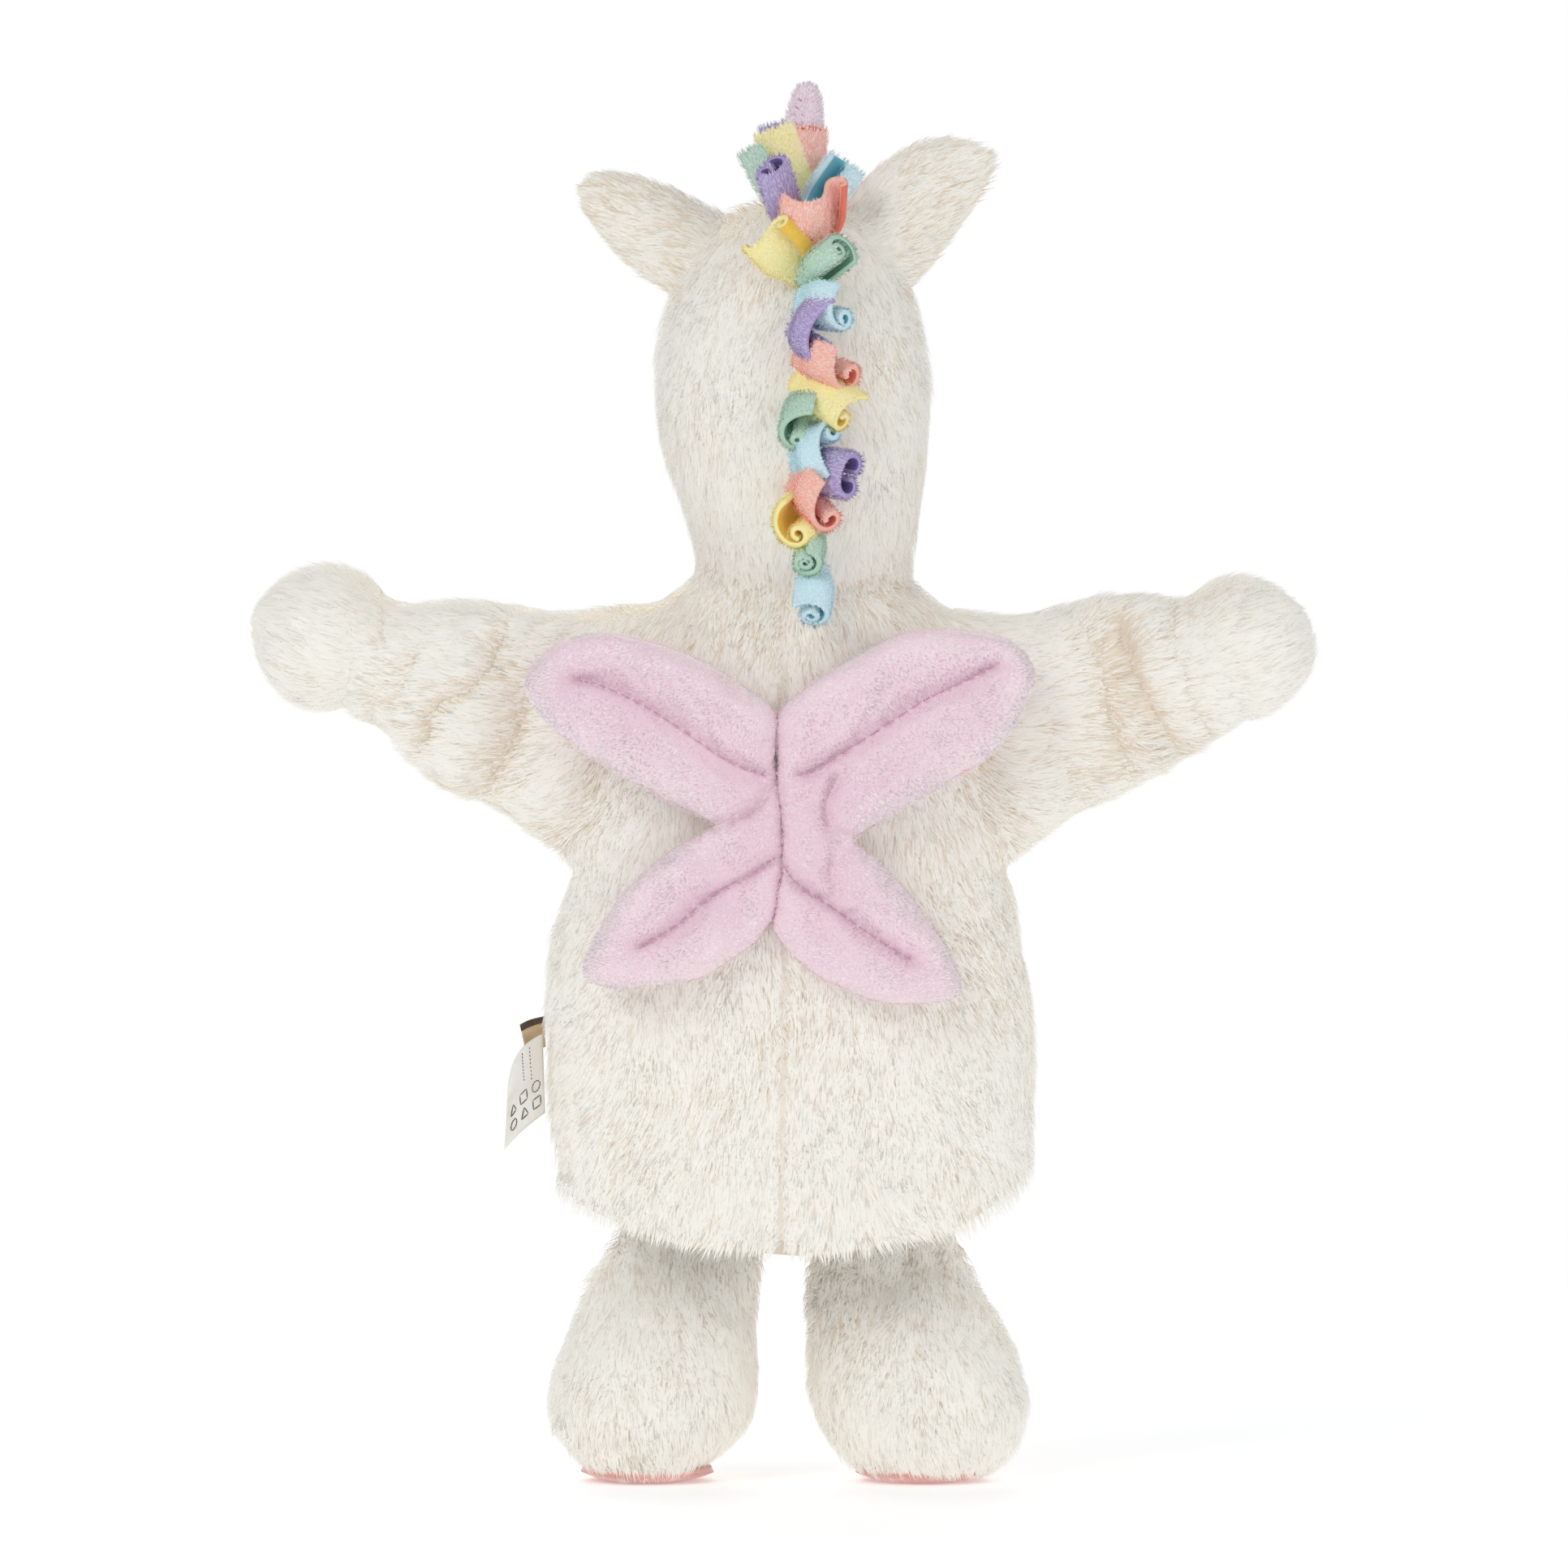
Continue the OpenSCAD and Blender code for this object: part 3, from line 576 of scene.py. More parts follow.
def line_distance(points, line):
    """Distance from points (x, z) to a line of points, and which side of it they are on."""
    best, side = np.full(len(points), np.inf), np.zeros(len(points))
    for a, b in zip(line[:-1], line[1:]):
        a, b = np.array(a), np.array(b)
        t = np.clip((points - a) @ (b - a) / ((b - a) @ (b - a)), 0, 1)
        away = points - a - t[:, None] * (b - a)
        d = np.linalg.norm(away, axis=1)
        closer = d < best
        best = np.where(closer, d, best)
        turn = (b - a)[0] * away[:, 1] - (b - a)[1] * away[:, 0]
        side = np.where(closer, np.sign(turn), side)
    return best, side


def press_folds(points, normals):
    push = 0.55 * noise(points, 16, 3) + 0.8 * noise(points, 34, 4)
    flat = points[:, [0, 2]]
    back = smooth(0, 9, points[:, 1])
    for line, depth, width, swell in FOLDS:
        d, side = line_distance(flat, drawn(line, 24))
        push -= back * depth * np.exp(-(d / width) ** 2)
        push += back * swell * np.exp(-((d - 1.9 * width) / width) ** 2) * (side > 0)
    seam = np.exp(-((points[:, 0] - SEAM_X) / 1.8) ** 2) * back * (points[:, 2] < 160)
    return points + normals * (push - 1.1 * seam)[:, None]


points, normals, _ = read_mesh(skin)
set_points(skin, press_folds(points, normals))

# %% Cut the hem
# The hem is the lower half of an ellipse: its lowest height, middle, half width and rise, in mm.
HEM_LOW, HEM_X, HEM_HALF, HEM_RISE = 2.0, -0.8, 60.2, 26


def hem_height(x):
    """Height of the hem's edge over its width: flat in the middle, rising to the side seams."""
    across = np.clip(1 - ((x - HEM_X) / HEM_HALF) ** 2, 0.0, 1)
    return HEM_LOW + HEM_RISE * (1 - np.sqrt(across)) + 0.35 * np.sin(x / 5.0)


def kept_faces(obj, name, keep):
    """A copy of obj with only the faces whose middle passes keep; their normals come along."""
    copy = obj.copy()
    copy.data = obj.data.copy()
    copy.name = copy.data.name = name
    bpy.context.scene.collection.objects.link(copy)
    bm = bmesh.new()
    bm.from_mesh(copy.data)
    middles = np.array([f.calc_center_median() for f in bm.faces]) / MM
    gone = [f for f, good in zip(bm.faces, keep(middles)) if not good]
    bmesh.ops.delete(bm, geom=gone, context="FACES")
    bm.to_mesh(copy.data)
    bm.free()
    return copy


open_skin = kept_faces(skin, "open_skin", lambda m: m[:, 2] > hem_height(m[:, 0]))
bpy.data.objects.remove(skin)
points, normals, _ = read_mesh(open_skin)
edge_use = {}
for polygon in open_skin.data.polygons:
    for edge in polygon.edge_keys:
        edge_use[edge] = edge_use.get(edge, 0) + 1
rim = sorted({v for edge, used in edge_use.items() if used == 1 for v in edge})
points[rim, 2] = hem_height(points[rim, 0])
set_points(open_skin, points)
print("hem edge points:", len(rim))

# %% [markdown]
# ### Pieces that move
# The head nods at the neck and the arms swing at the shoulders, so the skin is divided there: at
# the neck, up the shoulders and under each arm. A piece that crosses a joint is given the two
# bodies it lies between, but stays where it is built.

# %% Divide the skin and grow its fur
NECK_LOW, NECK_HIGH = 157.5, 177.0
ARM_IN, ARM_OUT = 35.0, 62.0


def region(m):
    """0 sleeve, 1 head, 2 left arm, 3 right arm."""
    where = np.zeros(len(m), int)
    where[m[:, 0] > ARM_IN] = 2
    where[m[:, 0] < -ARM_IN - 3] = 3
    where[(m[:, 2] > NECK_LOW) & (m[:, 0] < ARM_IN) & (m[:, 0] > -ARM_IN - 3)] = 1
    low = (m[:, 2] < 97) | ((np.abs(m[:, 0]) < 50) & (m[:, 2] < 100))
    where[low] = 0
    return where


def nap(points):
    """The direction the fur lies in: down the back, down the head, and out along the arms."""
    x, z = points[:, 0], points[:, 2]
    away = np.sign(x) * smooth(0, 40, np.abs(x))
    down = np.stack([0.32 * away, np.zeros_like(x), -np.ones_like(x)], 1)
    out = np.stack([np.sign(x), np.zeros_like(x), 0.15 + 0.012 * (z - 135)], 1)
    share = (smooth(34, 66, np.abs(x)) * smooth(92, 112, z))[:, None]
    flow = down * (1 - share) + out * share
    return flow + 0.42 * noise3(points, 26, 11) + 0.30 * noise3(points, 9, 14)


FUR_WIDTH = 0.36
FIBRES = {"sleeve": 66000, "head": 46000, "left_arm": 34000, "right_arm": 34000, "leg": 23000, "ear": 7000}


def cream_pile(squares):
    return pile_material("cream_pile", CREAM_ROOT, CREAM_TIP, squares)


# Beige fibres: painted shade in the folds and at the neck's base, and loose patches elsewhere.
def beige_pile(squares):
    return pile_material("beige_pile", srgb(214, 194, 170), srgb(238, 226, 208), squares)


def painted_shade_and_patches(p):
    """Chance a fibre is beige: painted shade in folds and at the neck's base, more by the ears, and patches.
    """
    near = 0
    for line, depth, width, _ in FOLDS:
        d, _ = line_distance(p[:, [0, 2]], drawn(line, 24))
        near = near + 0.27 * depth * np.exp(-(d / (1.3 * width)) ** 2) * smooth(0, 8, p[:, 1])
    patches = smooth(0.2, 0.9, noise(p, 20, 61)) * 0.24 + smooth(0.3, 0.9, noise(p, 8, 62)) * 0.08
    neck = 0.38 * np.exp(-((p[:, 2] - 154) / 8) ** 2 - (p[:, 0] / 26) ** 2)
    ears = 0.3 * (p[:, 2] > 236) * (np.abs(p[:, 0] + 2) > 24)
    return near + patches + neck + ears + 0.015


def fur(name, points, normals, triangles, count, seed, length=6.4, rise=2.5, flow=nap, bare=None):
    """Cream fibres over a mesh with beige ones among them; bare says where none grow."""
    place, facing, area = scatter(points, normals, triangles, count, seed)
    if bare is not None:
        grown = ~bare(place)
        place, facing = place[grown], facing[grown]
    on_back = (place[:, 1] > 4) & (place[:, 2] < 160) & (np.abs(place[:, 0]) < 8)
    near_seam = np.exp(-((place[:, 0] - SEAM_X) / 1.6) ** 2) * on_back
    lie = flow(place)
    lie[:, 0] += near_seam * 0.9 * np.sign(place[:, 0] - SEAM_X)
    size = length * (1 + 0.16 * noise(place, 14, 21)) * (1 - 0.35 * near_seam)
    up = rise * (1 + 0.35 * noise(place, 11, 22)) * (1 - 0.45 * near_seam)
    wide = FUR_WIDTH
    # The fur is clipped short beside the labels, so that they lie free.
    clipped = (place[:, 0] > 50) & (np.abs(place[:, 2] - 38) < 18) & (place[:, 1] > -4) & (place[:, 1] < 16)
    size, up = np.where(clipped, 0.5 * size, size), np.where(clipped, 0.3 * up, up)
    # Beige fibres paint the shade of folds and the neck's base, and scatter in patches.
    dark = np.random.default_rng(seed + 2).random(len(place)) < painted_shade_and_patches(place)
    piles = []
    for ending, m, pile, lower in (("", ~dark, cream_pile, 1.0), ("_deep", dark, beige_pile, 0.96)):
        piles.append(blades(name + ending, place[m], facing[m], lie[m], size[m], up[m] * lower,
                            wide, 0.55, pile, seed + 1))
    print(f"{name}: {count} fibres on {area:.0f} mm2, {count / area:.1f} per mm2")
    return piles


EYES = [(18.9, -26.4, 213.4), (-22.9, -26.4, 213.4)]
MUZZLE = (-2.0, 198.0)


def face_bare(p):
    """The places on the face without fur: under the eyes and under the muzzle."""
    near_eye = np.min([np.hypot(p[:, 0] - x, p[:, 2] - z) for x, _, z in EYES], axis=0) < 3.6
    under_muzzle = np.hypot((p[:, 0] - MUZZLE[0]) / 16.5, (p[:, 2] - MUZZLE[1]) / 13.5) < 1
    return (p[:, 1] < 0) & (near_eye | under_muzzle)


points, normals, triangles = read_mesh(open_skin)
owner = region(points[triangles].mean(axis=1))
# Each part: its number in region, and the body it rides on or the two bodies and places it lies between.
NECK_BEND = ("torso", "head", (-2, 4, NECK_LOW), (-2, 4, NECK_HIGH))
PARTS = {
    "sleeve": (0, "torso"),
    "head": (1, NECK_BEND),
    "left_arm": (2, ("torso", "left_arm", (ARM_IN, 0, 128), (ARM_OUT, 0, 128))),
    "right_arm": (3, ("torso", "right_arm", (-ARM_IN - 3, 0, 128), (-ARM_OUT, 0, 128))),
}
STANDS_FOR = {
    "sleeve": ["back_panel_left", "back_panel_right", "front_panel"],
    "head": ["head_back_left", "head_back_right", "face_panel", "head_stuffing"],
    "left_arm": ["left_arm_sleeve", "left_hoof_cover", "left_hoof_stuffing"],
    "right_arm": ["right_arm_sleeve", "right_hoof_cover", "right_hoof_stuffing"],
}


def moves(obj, bend):
    """Rides on one body, or stays where it is built; the two bodies and places in mm of a bend are not used.
    """
    if isinstance(bend, str):
        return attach(obj, bend)
    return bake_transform(obj)


for part, (number, bend) in PARTS.items():
    piece = kept_faces(open_skin, part + "_skin", lambda m, n=number: region(m) == n)
    piece.data.materials.append(BACKING)
    pile = fur(part + "_fur", points, normals, triangles[owner == number], FIBRES[part], 100 + number,
               bare=face_bare if part == "head" else None)
    for obj in (piece, *pile):
        moves(obj, bend)
    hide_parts(*STANDS_FOR[part])
bpy.data.objects.remove(open_skin)

# %% [markdown]
# ## Legs and soles
# Each leg is a bag that hangs from the front edge of the opening: flat where it is sewn in, round
# and firmly filled at the foot, and closed below by an oval sole of short velour.

# %% Legs
# Each row: outer x, inner x, height, half depth, in mm.
LEFT_LEG = [
    (40, 10, 6.5, 1), (41.2, 8.2, 2, 1.8), (43.6, 8, -4, 4.2), (47.8, 8.8, -11, 8.5),
    (51.4, 9.2, -19, 13.5), (55.2, 8.8, -28, 18), (57.2, 9.4, -36, 20.4), (56.8, 11.4, -43, 20.8),
    (53.6, 15.4, -49, 19.4), (49, 20.6, -53.4, 16.6), (42, 27, -56.2, 10),
]
RIGHT_LEG = [
    (-41, -9, 6.5, 1), (-42.8, -8.6, 2, 1.8), (-44.8, -7.8, -4, 4.2), (-47, -7.6, -11, 8.5),
    (-50.6, -7.4, -19, 13.5), (-55, -7.2, -28, 18), (-58, -7.8, -36, 20.4), (-58.2, -9.6, -43, 20.8),
    (-56, -13.4, -49, 19.4), (-51, -18.4, -53.4, 16.6), (-42, -26, -56.2, 10),
]
LEG_Y = -19.4
SOLE_RADII, SOLE_BOTTOM, SOLE_RIM_RISE = (16.0, 15.6), -58.4, 2.8
SOLE = fabric("sole_velour", srgb(232, 178, 170), srgb(214, 150, 142), 120, 1600, 0.25, 0.0003, 0.7)


def hang(points):
    """The nap on the legs: straight down, a little ruffled."""
    down = np.stack([0.15 * noise(points, 20, 31), 0.15 * noise(points, 20, 32), -np.ones(len(points))], 1)
    return down + 0.28 * noise3(points, 9, 33)


def leg_bare(p):
    """The fur stops at the sole's seam, a little lower on the inner side of each foot."""
    return p[:, 2] < -55.7 - 1.2 * ((p[:, 0] < 33) & (p[:, 0] > -22))


for side, rows in (("left", LEFT_LEG), ("right", RIGHT_LEG)):
    shape, faces = ribs([(o, z, i, z, d, d) for o, i, z, d in rows], 44, 56, 2.1)
    shape[:, 1] += LEG_Y
    leg = outward(mesh_object(side + "_leg_skin", shape, faces, BACKING))
    points, normals, triangles = read_mesh(leg)
    points = points + normals * (0.7 * noise(points, 13, 41) + 0.5 * noise(points, 7, 42))[:, None]
    gather = np.exp(-((points[:, 2] + 3) / 6) ** 2)
    points[:, 1] += 0.8 * gather * np.sin(points[:, 0] * 0.9)
    set_points(leg, points)
    points, normals, triangles = read_mesh(leg)
    pile = fur(side + "_leg_fur", points, normals, triangles, FIBRES["leg"], 140 + len(side), flow=hang,
               length=5.8, bare=leg_bare)
    hip = 26 if side == "left" else -26
    for obj in (leg, *pile):
        moves(obj, ("torso", side + "_leg", (hip, -19, 1.5), (hip, -19, -13)))
    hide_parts(side + "_leg_cover", side + "_leg_stuffing")
    sole_x = 34.6 if side == "left" else -34.0
    t = np.linspace(0, 1, 9)[:, None]
    a = circle(48)[None, :]
    sole_points = np.dstack([sole_x + SOLE_RADII[0] * t * np.cos(a), LEG_Y + SOLE_RADII[1] * t * np.sin(a),
                             SOLE_BOTTOM + SOLE_RIM_RISE * t ** 3 + 0 * a]).reshape(-1, 3)
    sole_points[:, 2] -= 0.25 * noise(sole_points, 6, 43)
    sole = mesh_object(side + "_sole", sole_points, net(9, 48), SOLE)
    thicken(sole, 1.6, 1)
    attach(sole, side + "_leg")
    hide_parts(side + "_leg_sole")

# %% [markdown]
# ## Ears
# An ear is two leaves sewn together and turned: fur behind, smooth velour in front. It is folded
# a little at its base, so the front is a shallow cup.

# %% Ears
# Each row: upper x and z, lower x and z, then half thickness.
LEFT_EAR = [
    (13, 252.2, 22, 233, 4.5), (18.2, 256, 27.4, 237.2, 4.2), (24.4, 259.6, 33.2, 241, 3.9),
    (31, 262.2, 38.6, 245.4, 3.6), (37.4, 264, 43, 250, 3.1), (42.6, 265, 46.6, 255, 2.6),
    (46.2, 264.8, 48.6, 259.4, 1.9), (47.8, 263.6, 48.6, 261.8, 0.9),
]
RIGHT_EAR = [
    (-12, 257, -24, 233.4, 4.5), (-17.6, 261.6, -29.2, 238.6, 4.3), (-23, 266.6, -34.2, 243.8, 4.1),
    (-28.6, 270.6, -39.2, 249.6, 3.8), (-34, 273, -43.4, 255.2, 3.4), (-39.6, 273.6, -46.8, 261.2, 2.9),
    (-44.4, 272.4, -49.2, 266.8, 2.1), (-47.6, 270.4, -49, 268.8, 0.9),
]
EAR_RINGS, EAR_SIDES = 40, 44
# The velour leaf covers these rings of the ear, with this many points across it.
LEAF_RINGS, LEAF_ACROSS = range(8, 35), 15
VELOUR_LIGHT, VELOUR_DARK = srgb(242, 217, 226), srgb(234, 203, 216)
VELOUR = fabric("pink_velour", VELOUR_LIGHT, VELOUR_DARK, 45, 1500, 0.35, 0.0004, 0.9, 0.85)


def pink_pile(squares):
    return pile_material("pink_pile", srgb(243, 220, 227), srgb(250, 236, 239), squares, 0.35, 0.5)


# Deeper pink fibres, for the wings' painted shade and painted sheen.
def deep_pink_pile(squares):
    return pile_material("deep_pink_pile", srgb(230, 192, 207), srgb(244, 217, 226), squares, 0.35, 0.4)


def cup(across):
    """How far the ear's cloth comes forward, from its folded middle at 0 to its edges at 1."""
    return 2.6 * across ** 2 - 1.0


CUP_SHARE = np.linspace(1.2, 0.5, EAR_RINGS)
for side, rows in (("left", LEFT_EAR), ("right", RIGHT_EAR)):
    shape, faces = ribs([(a, b, c, d, 0.55 * h, h) for a, b, c, d, h in rows], EAR_RINGS, EAR_SIDES, 2.1)
    middle = through([((r[0] + r[2]) / 2, (r[1] + r[3]) / 2) for r in rows], EAR_RINGS)
    spread = through([(r[0] - r[2], r[1] - r[3]) for r in rows], EAR_RINGS)
    half_thick = through([(r[4],) for r in rows], EAR_RINGS)[:, 0]
    flat = shape.reshape(EAR_RINGS, EAR_SIDES, 3)[:, :, [0, 2]]
    across = ((flat - middle[:, None]) * spread[:, None]).sum(2) / (spread ** 2).sum(1)[:, None] * 2
    shape[:, 1] -= cup(across.ravel()) * np.repeat(CUP_SHARE, EAR_SIDES)
    ear = outward(mesh_object(side + "_ear_skin", shape, faces, BACKING))
    points, normals, triangles = read_mesh(ear)
    toward = np.array([rows[-1][0] - rows[0][0], 0, rows[-1][1] - rows[0][1]], float)
    pile = fur(side + "_ear_fur", points, normals, triangles, FIBRES["ear"], 160 + len(side),
               length=5.0, rise=1.7, flow=lambda p: unit(toward) + 0.3 * noise3(p, 8, 51))
    grid = shape.reshape(EAR_RINGS, EAR_SIDES, 3)
    leaf = []
    for r in LEAF_RINGS:
        low, high = grid[r, EAR_SIDES // 2], grid[r, 0]
        for t in np.linspace(0.16, 0.84, LEAF_ACROSS):
            x, _, z = low + (high - low) * t
            k = 2 * t - 1
            front = -0.55 * half_thick[r] * math.sqrt(max(1 - k * k, 0)) - cup(k) * CUP_SHARE[r]
            leaf.append((x, front - 1.5 + 0.9 * (abs(k) / 0.68) ** 4, z))
    leaf_faces = net(len(LEAF_RINGS), LEAF_ACROSS, closed=False)
    lining = mesh_object(side + "_ear_inner_velour", leaf, leaf_faces, VELOUR)
    outward(thicken(lining, 1.0, 0))
    points, normals, triangles = read_mesh(lining)
    facing = normals[triangles].mean(axis=1)[:, 1] < 0.2
    place, way, _ = scatter(points, normals, triangles[facing], 3000, 165)
    lie = np.tile(toward, (len(place), 1))
    fuzz = blades(side + "_ear_inner_pile", place, way, lie, 1.5, 0.9, 0.26, 0.3, pink_pile, 166)
    for obj in (ear, *pile, lining, fuzz):
        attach(obj, side + "_ear")
    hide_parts(side + "_ear_back")
    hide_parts(side + "_ear_inner")

# %% [markdown]
# ## Thread
# Sewing thread, tape edges and round forms all follow a path. One helper makes a closed form
# along a path, and another makes many short threads as one piece.

# %% Round forms along a path
def tube(path, radii, sides=32, squash=1.0, over_hint=(0.13, 0.97, 0.21)):
    """Points and faces of a closed form along a path, with one radius per point of the path."""
    path = np.array(path, float)
    radii = np.array(radii, float)
    along = unit(np.gradient(path, axis=0))
    aside = unit(np.cross(along, over_hint))
    over = np.cross(aside, along)
    angle = circle(sides)
    rings = path[:, None] + radii[:, None, None] * (
        np.cos(angle)[None, :, None] * aside[:, None] + squash * np.sin(angle)[None, :, None] * over[:, None])
    return rings.reshape(-1, 3), capped(len(path), sides)


def threads(name, lines, radius, material, sides=6):
    """Many short threads as one mesh; each line is two or more points."""
    forms = []
    for line in lines:
        two = len(line) == 2
        fine = np.linspace(*np.array(line, float), 5) if two else through(line, max(5, 3 * len(line)))
        t = np.linspace(-1, 1, len(fine))
        forms.append(tube(fine, radius * np.sqrt(np.maximum(1 - t ** 6, 0.05)), sides))
    return outward(mesh_object(name, *joined(forms), material))

# %% [markdown]
# ## Wings
# A wing is a flat pillow of velour with a light filling. A line of stitches down each lobe pulls
# both layers together, and the whole wing is gathered where it is sewn to the back. The height
# over the flat pattern rises quickly from every edge and stitched line, and creases run from the
# notch to the gathered root. A short cloth simulation with a little pressure then settles it.

# %% Wing patterns
# Points are (x, z) in mm. Each crease also has the share of height that it takes, and its width.
WINGS = {
    "left": {
        "outline": [(2.2, 132), (13, 140.5), (27, 147.6), (42.8, 151.2), (54.6, 149.4), (63, 141.4),
                    (60.6, 133), (51.6, 124.4), (40, 117), (29, 111), (21.4, 107), (17.6, 104.4),
                    (21.5, 102), (29, 98), (37, 90.6), (43.6, 82.6), (49.2, 71.4), (46.4, 66),
                    (36.4, 65.2), (21.4, 67.4), (9, 75), (2.4, 82.8), (1, 92), (0.2, 100),
                    (0.9, 110), (2.4, 120)],
        "stitched": [[(51.2, 140), (45.6, 139), (34.5, 133.9), (25.2, 127.9), (14, 120.4), (4.7, 116.7)],
                     [(2.5, 96.8), (8.4, 93), (17.8, 87.8), (27, 80), (35.5, 75.2)]],
        "creased": [([(17.6, 104.4), (9.4, 107.8), (2.6, 114.2)], 0.75, 1.6),
                    ([(16, 97), (12, 84)], 0.25, 3.5), ([(3, 88), (9, 78)], 0.3, 3)],
    },
    "right": {
        "outline": [(2, 132), (-5, 138.4), (-14.8, 144.6), (-28.8, 151.4), (-42.8, 152.2), (-54.2, 150),
                    (-60.2, 143.2), (-59.6, 136.8), (-51.4, 123.4), (-36.2, 113.2), (-25, 106.4),
                    (-17, 101), (-22.5, 96.6), (-28.8, 89.8), (-37.6, 78), (-42.2, 68.8), (-42.2, 64),
                    (-38, 61.6), (-24.4, 61.4), (-14.8, 64.6), (-5.6, 69.4), (2.6, 78), (2.8, 86),
                    (1.4, 94), (1.4, 102), (2.2, 112), (2.4, 122)],
        "stitched": [[(-3.7, 117.2), (-7.4, 118.6), (-20.4, 126.5), (-33.4, 134.9), (-40.9, 138.6),
                      (-51.2, 143.7)],
                     [(0.6, 94.8), (-2.8, 90.6), (-13, 83.6), (-21.4, 77.6), (-30.6, 72)]],
        "creased": [([(-17.0, 101.0), (-11.4, 104), (-10.2, 110.5), (-12.5, 116)], 0.7, 1.7),
                    ([(-13.6, 100), (-11.6, 94), (-12, 88)], 0.5, 2.2), ([(0.5, 108), (-6, 112)], 0.35, 2.0)],
    },
}
# The pillow's height and how far it rises over, the stitches' pitch, the spacing of the mesh's
# points, and the most that the simulation may move a point, in mm.
PUFF, EDGE_REACH, STITCH, PATTERN_STEP, MOST_MOVE = 6.2, 6.6, 2.6, 1.5, 2.6
WING_FIBRES = 34000
PINK_THREAD = fabric("pink_thread", srgb(214, 168, 190), srgb(196, 146, 172),
                     300, 3000, 0.2, 0.0002, 0.3, 0.6)


def length_of(line):
    return np.linalg.norm(np.diff(line, axis=0), axis=1).sum()


def rim_distance(flat, rim):
    """How far points lie from a closed outline."""
    return line_distance(flat, np.vstack([rim, rim[:1]]))[0]


def stitch_distance(flat, pattern):
    """How far points lie from a pattern's nearest stitched line."""
    return np.min([line_distance(flat, through(line, 60))[0] for line in pattern["stitched"]], axis=0)


def pattern_mesh(outline, lines, spacing, seed):
    """Triangles over a flat pattern, with points along its outline and its stitched lines."""
    draw = np.random.default_rng(seed)
    rim = through(outline, int(length_of(outline + outline[:1]) / spacing), True)
    seams = [through(line, int(length_of(line) / spacing)) for line in lines]
    low, high = rim.min(axis=0), rim.max(axis=0)
    rows = np.arange(low[1], high[1], spacing * 0.87)
    columns = np.arange(low[0], high[0], spacing)
    grid = np.array([(x + (k % 2) * spacing / 2, z) for k, z in enumerate(rows) for x in columns])
    grid += draw.normal(0, spacing * 0.07, grid.shape)
    clear = rim_distance(grid, rim) > 0.6 * spacing
    for seam in seams:
        clear &= line_distance(grid, seam)[0] > 0.6 * spacing
    crossings = np.zeros(len(grid), int)
    for a, b in zip(rim, np.roll(rim, -1, axis=0)):
        spans = (a[1] > grid[:, 1]) != (b[1] > grid[:, 1])
        with np.errstate(divide="ignore", invalid="ignore"):
            hit = grid[:, 0] < (b[0] - a[0]) * (grid[:, 1] - a[1]) / (b[1] - a[1]) + a[0]
        crossings += spans & hit
    grid = grid[clear & (crossings % 2 == 1)]
    everything = np.vstack([rim, *seams, grid])
    edges = [(k, (k + 1) % len(rim)) for k in range(len(rim))]
    start = len(rim)
    for seam in seams:
        edges += [(start + k, start + k + 1) for k in range(len(seam) - 1)]
        start += len(seam)
    inside = [list(range(len(rim)))]
    corners = [Vector(p) for p in everything]
    flat, _, faces, _, _, _ = geometry.delaunay_2d_cdt(corners, edges, inside, 1, 1e-4)
    flat = np.array([tuple(p) for p in flat])
    return flat, faces, rim_distance(flat, rim) < 1e-3


def wing_height(flat, pattern):
    """Height of the pillow over its flat pattern, on each side."""
    rise = np.clip(rim_distance(flat, through(pattern["outline"], 300, True)) / EDGE_REACH, 0, 1)
    height = PUFF * np.sqrt(np.maximum(1 - (1 - rise) ** 2, 0))
    for line in pattern["stitched"]:
        d = line_distance(flat, through(line, 60))[0]
        height = height * (1 - 0.48 * np.exp(-(d / 2.4) ** 2) - 0.36 * np.exp(-(d / 0.8) ** 2))
    for line, depth, width in pattern["creased"]:
        d = line_distance(flat, drawn(line, 30))[0]
        height = height * (1 - depth * np.exp(-(d / width) ** 2))
    return height


def settle(obj, held, pressure, slack, frames=18):
    """Cloth with pressure inside it; held is how firmly each point stays."""
    group = obj.vertex_groups.new(name="held")
    for k, weight in enumerate(held):
        if weight > 0:
            group.add([k], float(weight), "REPLACE")
    cloth = obj.modifiers.new("cloth", "CLOTH")
    cloth.settings.quality = 6
    cloth.settings.mass = 0.15
    cloth.settings.tension_stiffness = cloth.settings.compression_stiffness = 20
    cloth.settings.shear_stiffness = 8
    cloth.settings.bending_stiffness = 0.25
    cloth.settings.vertex_group_mass = "held"
    cloth.settings.use_pressure = True
    cloth.settings.uniform_pressure_force = pressure
    cloth.settings.shrink_min = -slack
    cloth.settings.effector_weights.gravity = 0
    cloth.collision_settings.use_collision = False
    cloth.point_cache.frame_start, cloth.point_cache.frame_end = 1, frames
    for frame_number in range(1, frames + 1):
        bpy.context.scene.frame_set(frame_number)
    graph = bpy.context.evaluated_depsgraph_get()
    done = obj.evaluated_get(graph).to_mesh()
    settled = np.empty(len(done.vertices) * 3)
    done.vertices.foreach_get("co", settled)
    obj.evaluated_get(graph).to_mesh_clear()
    obj.modifiers.clear()
    bpy.context.scene.frame_set(1)
    return settled.reshape(-1, 3) / MM


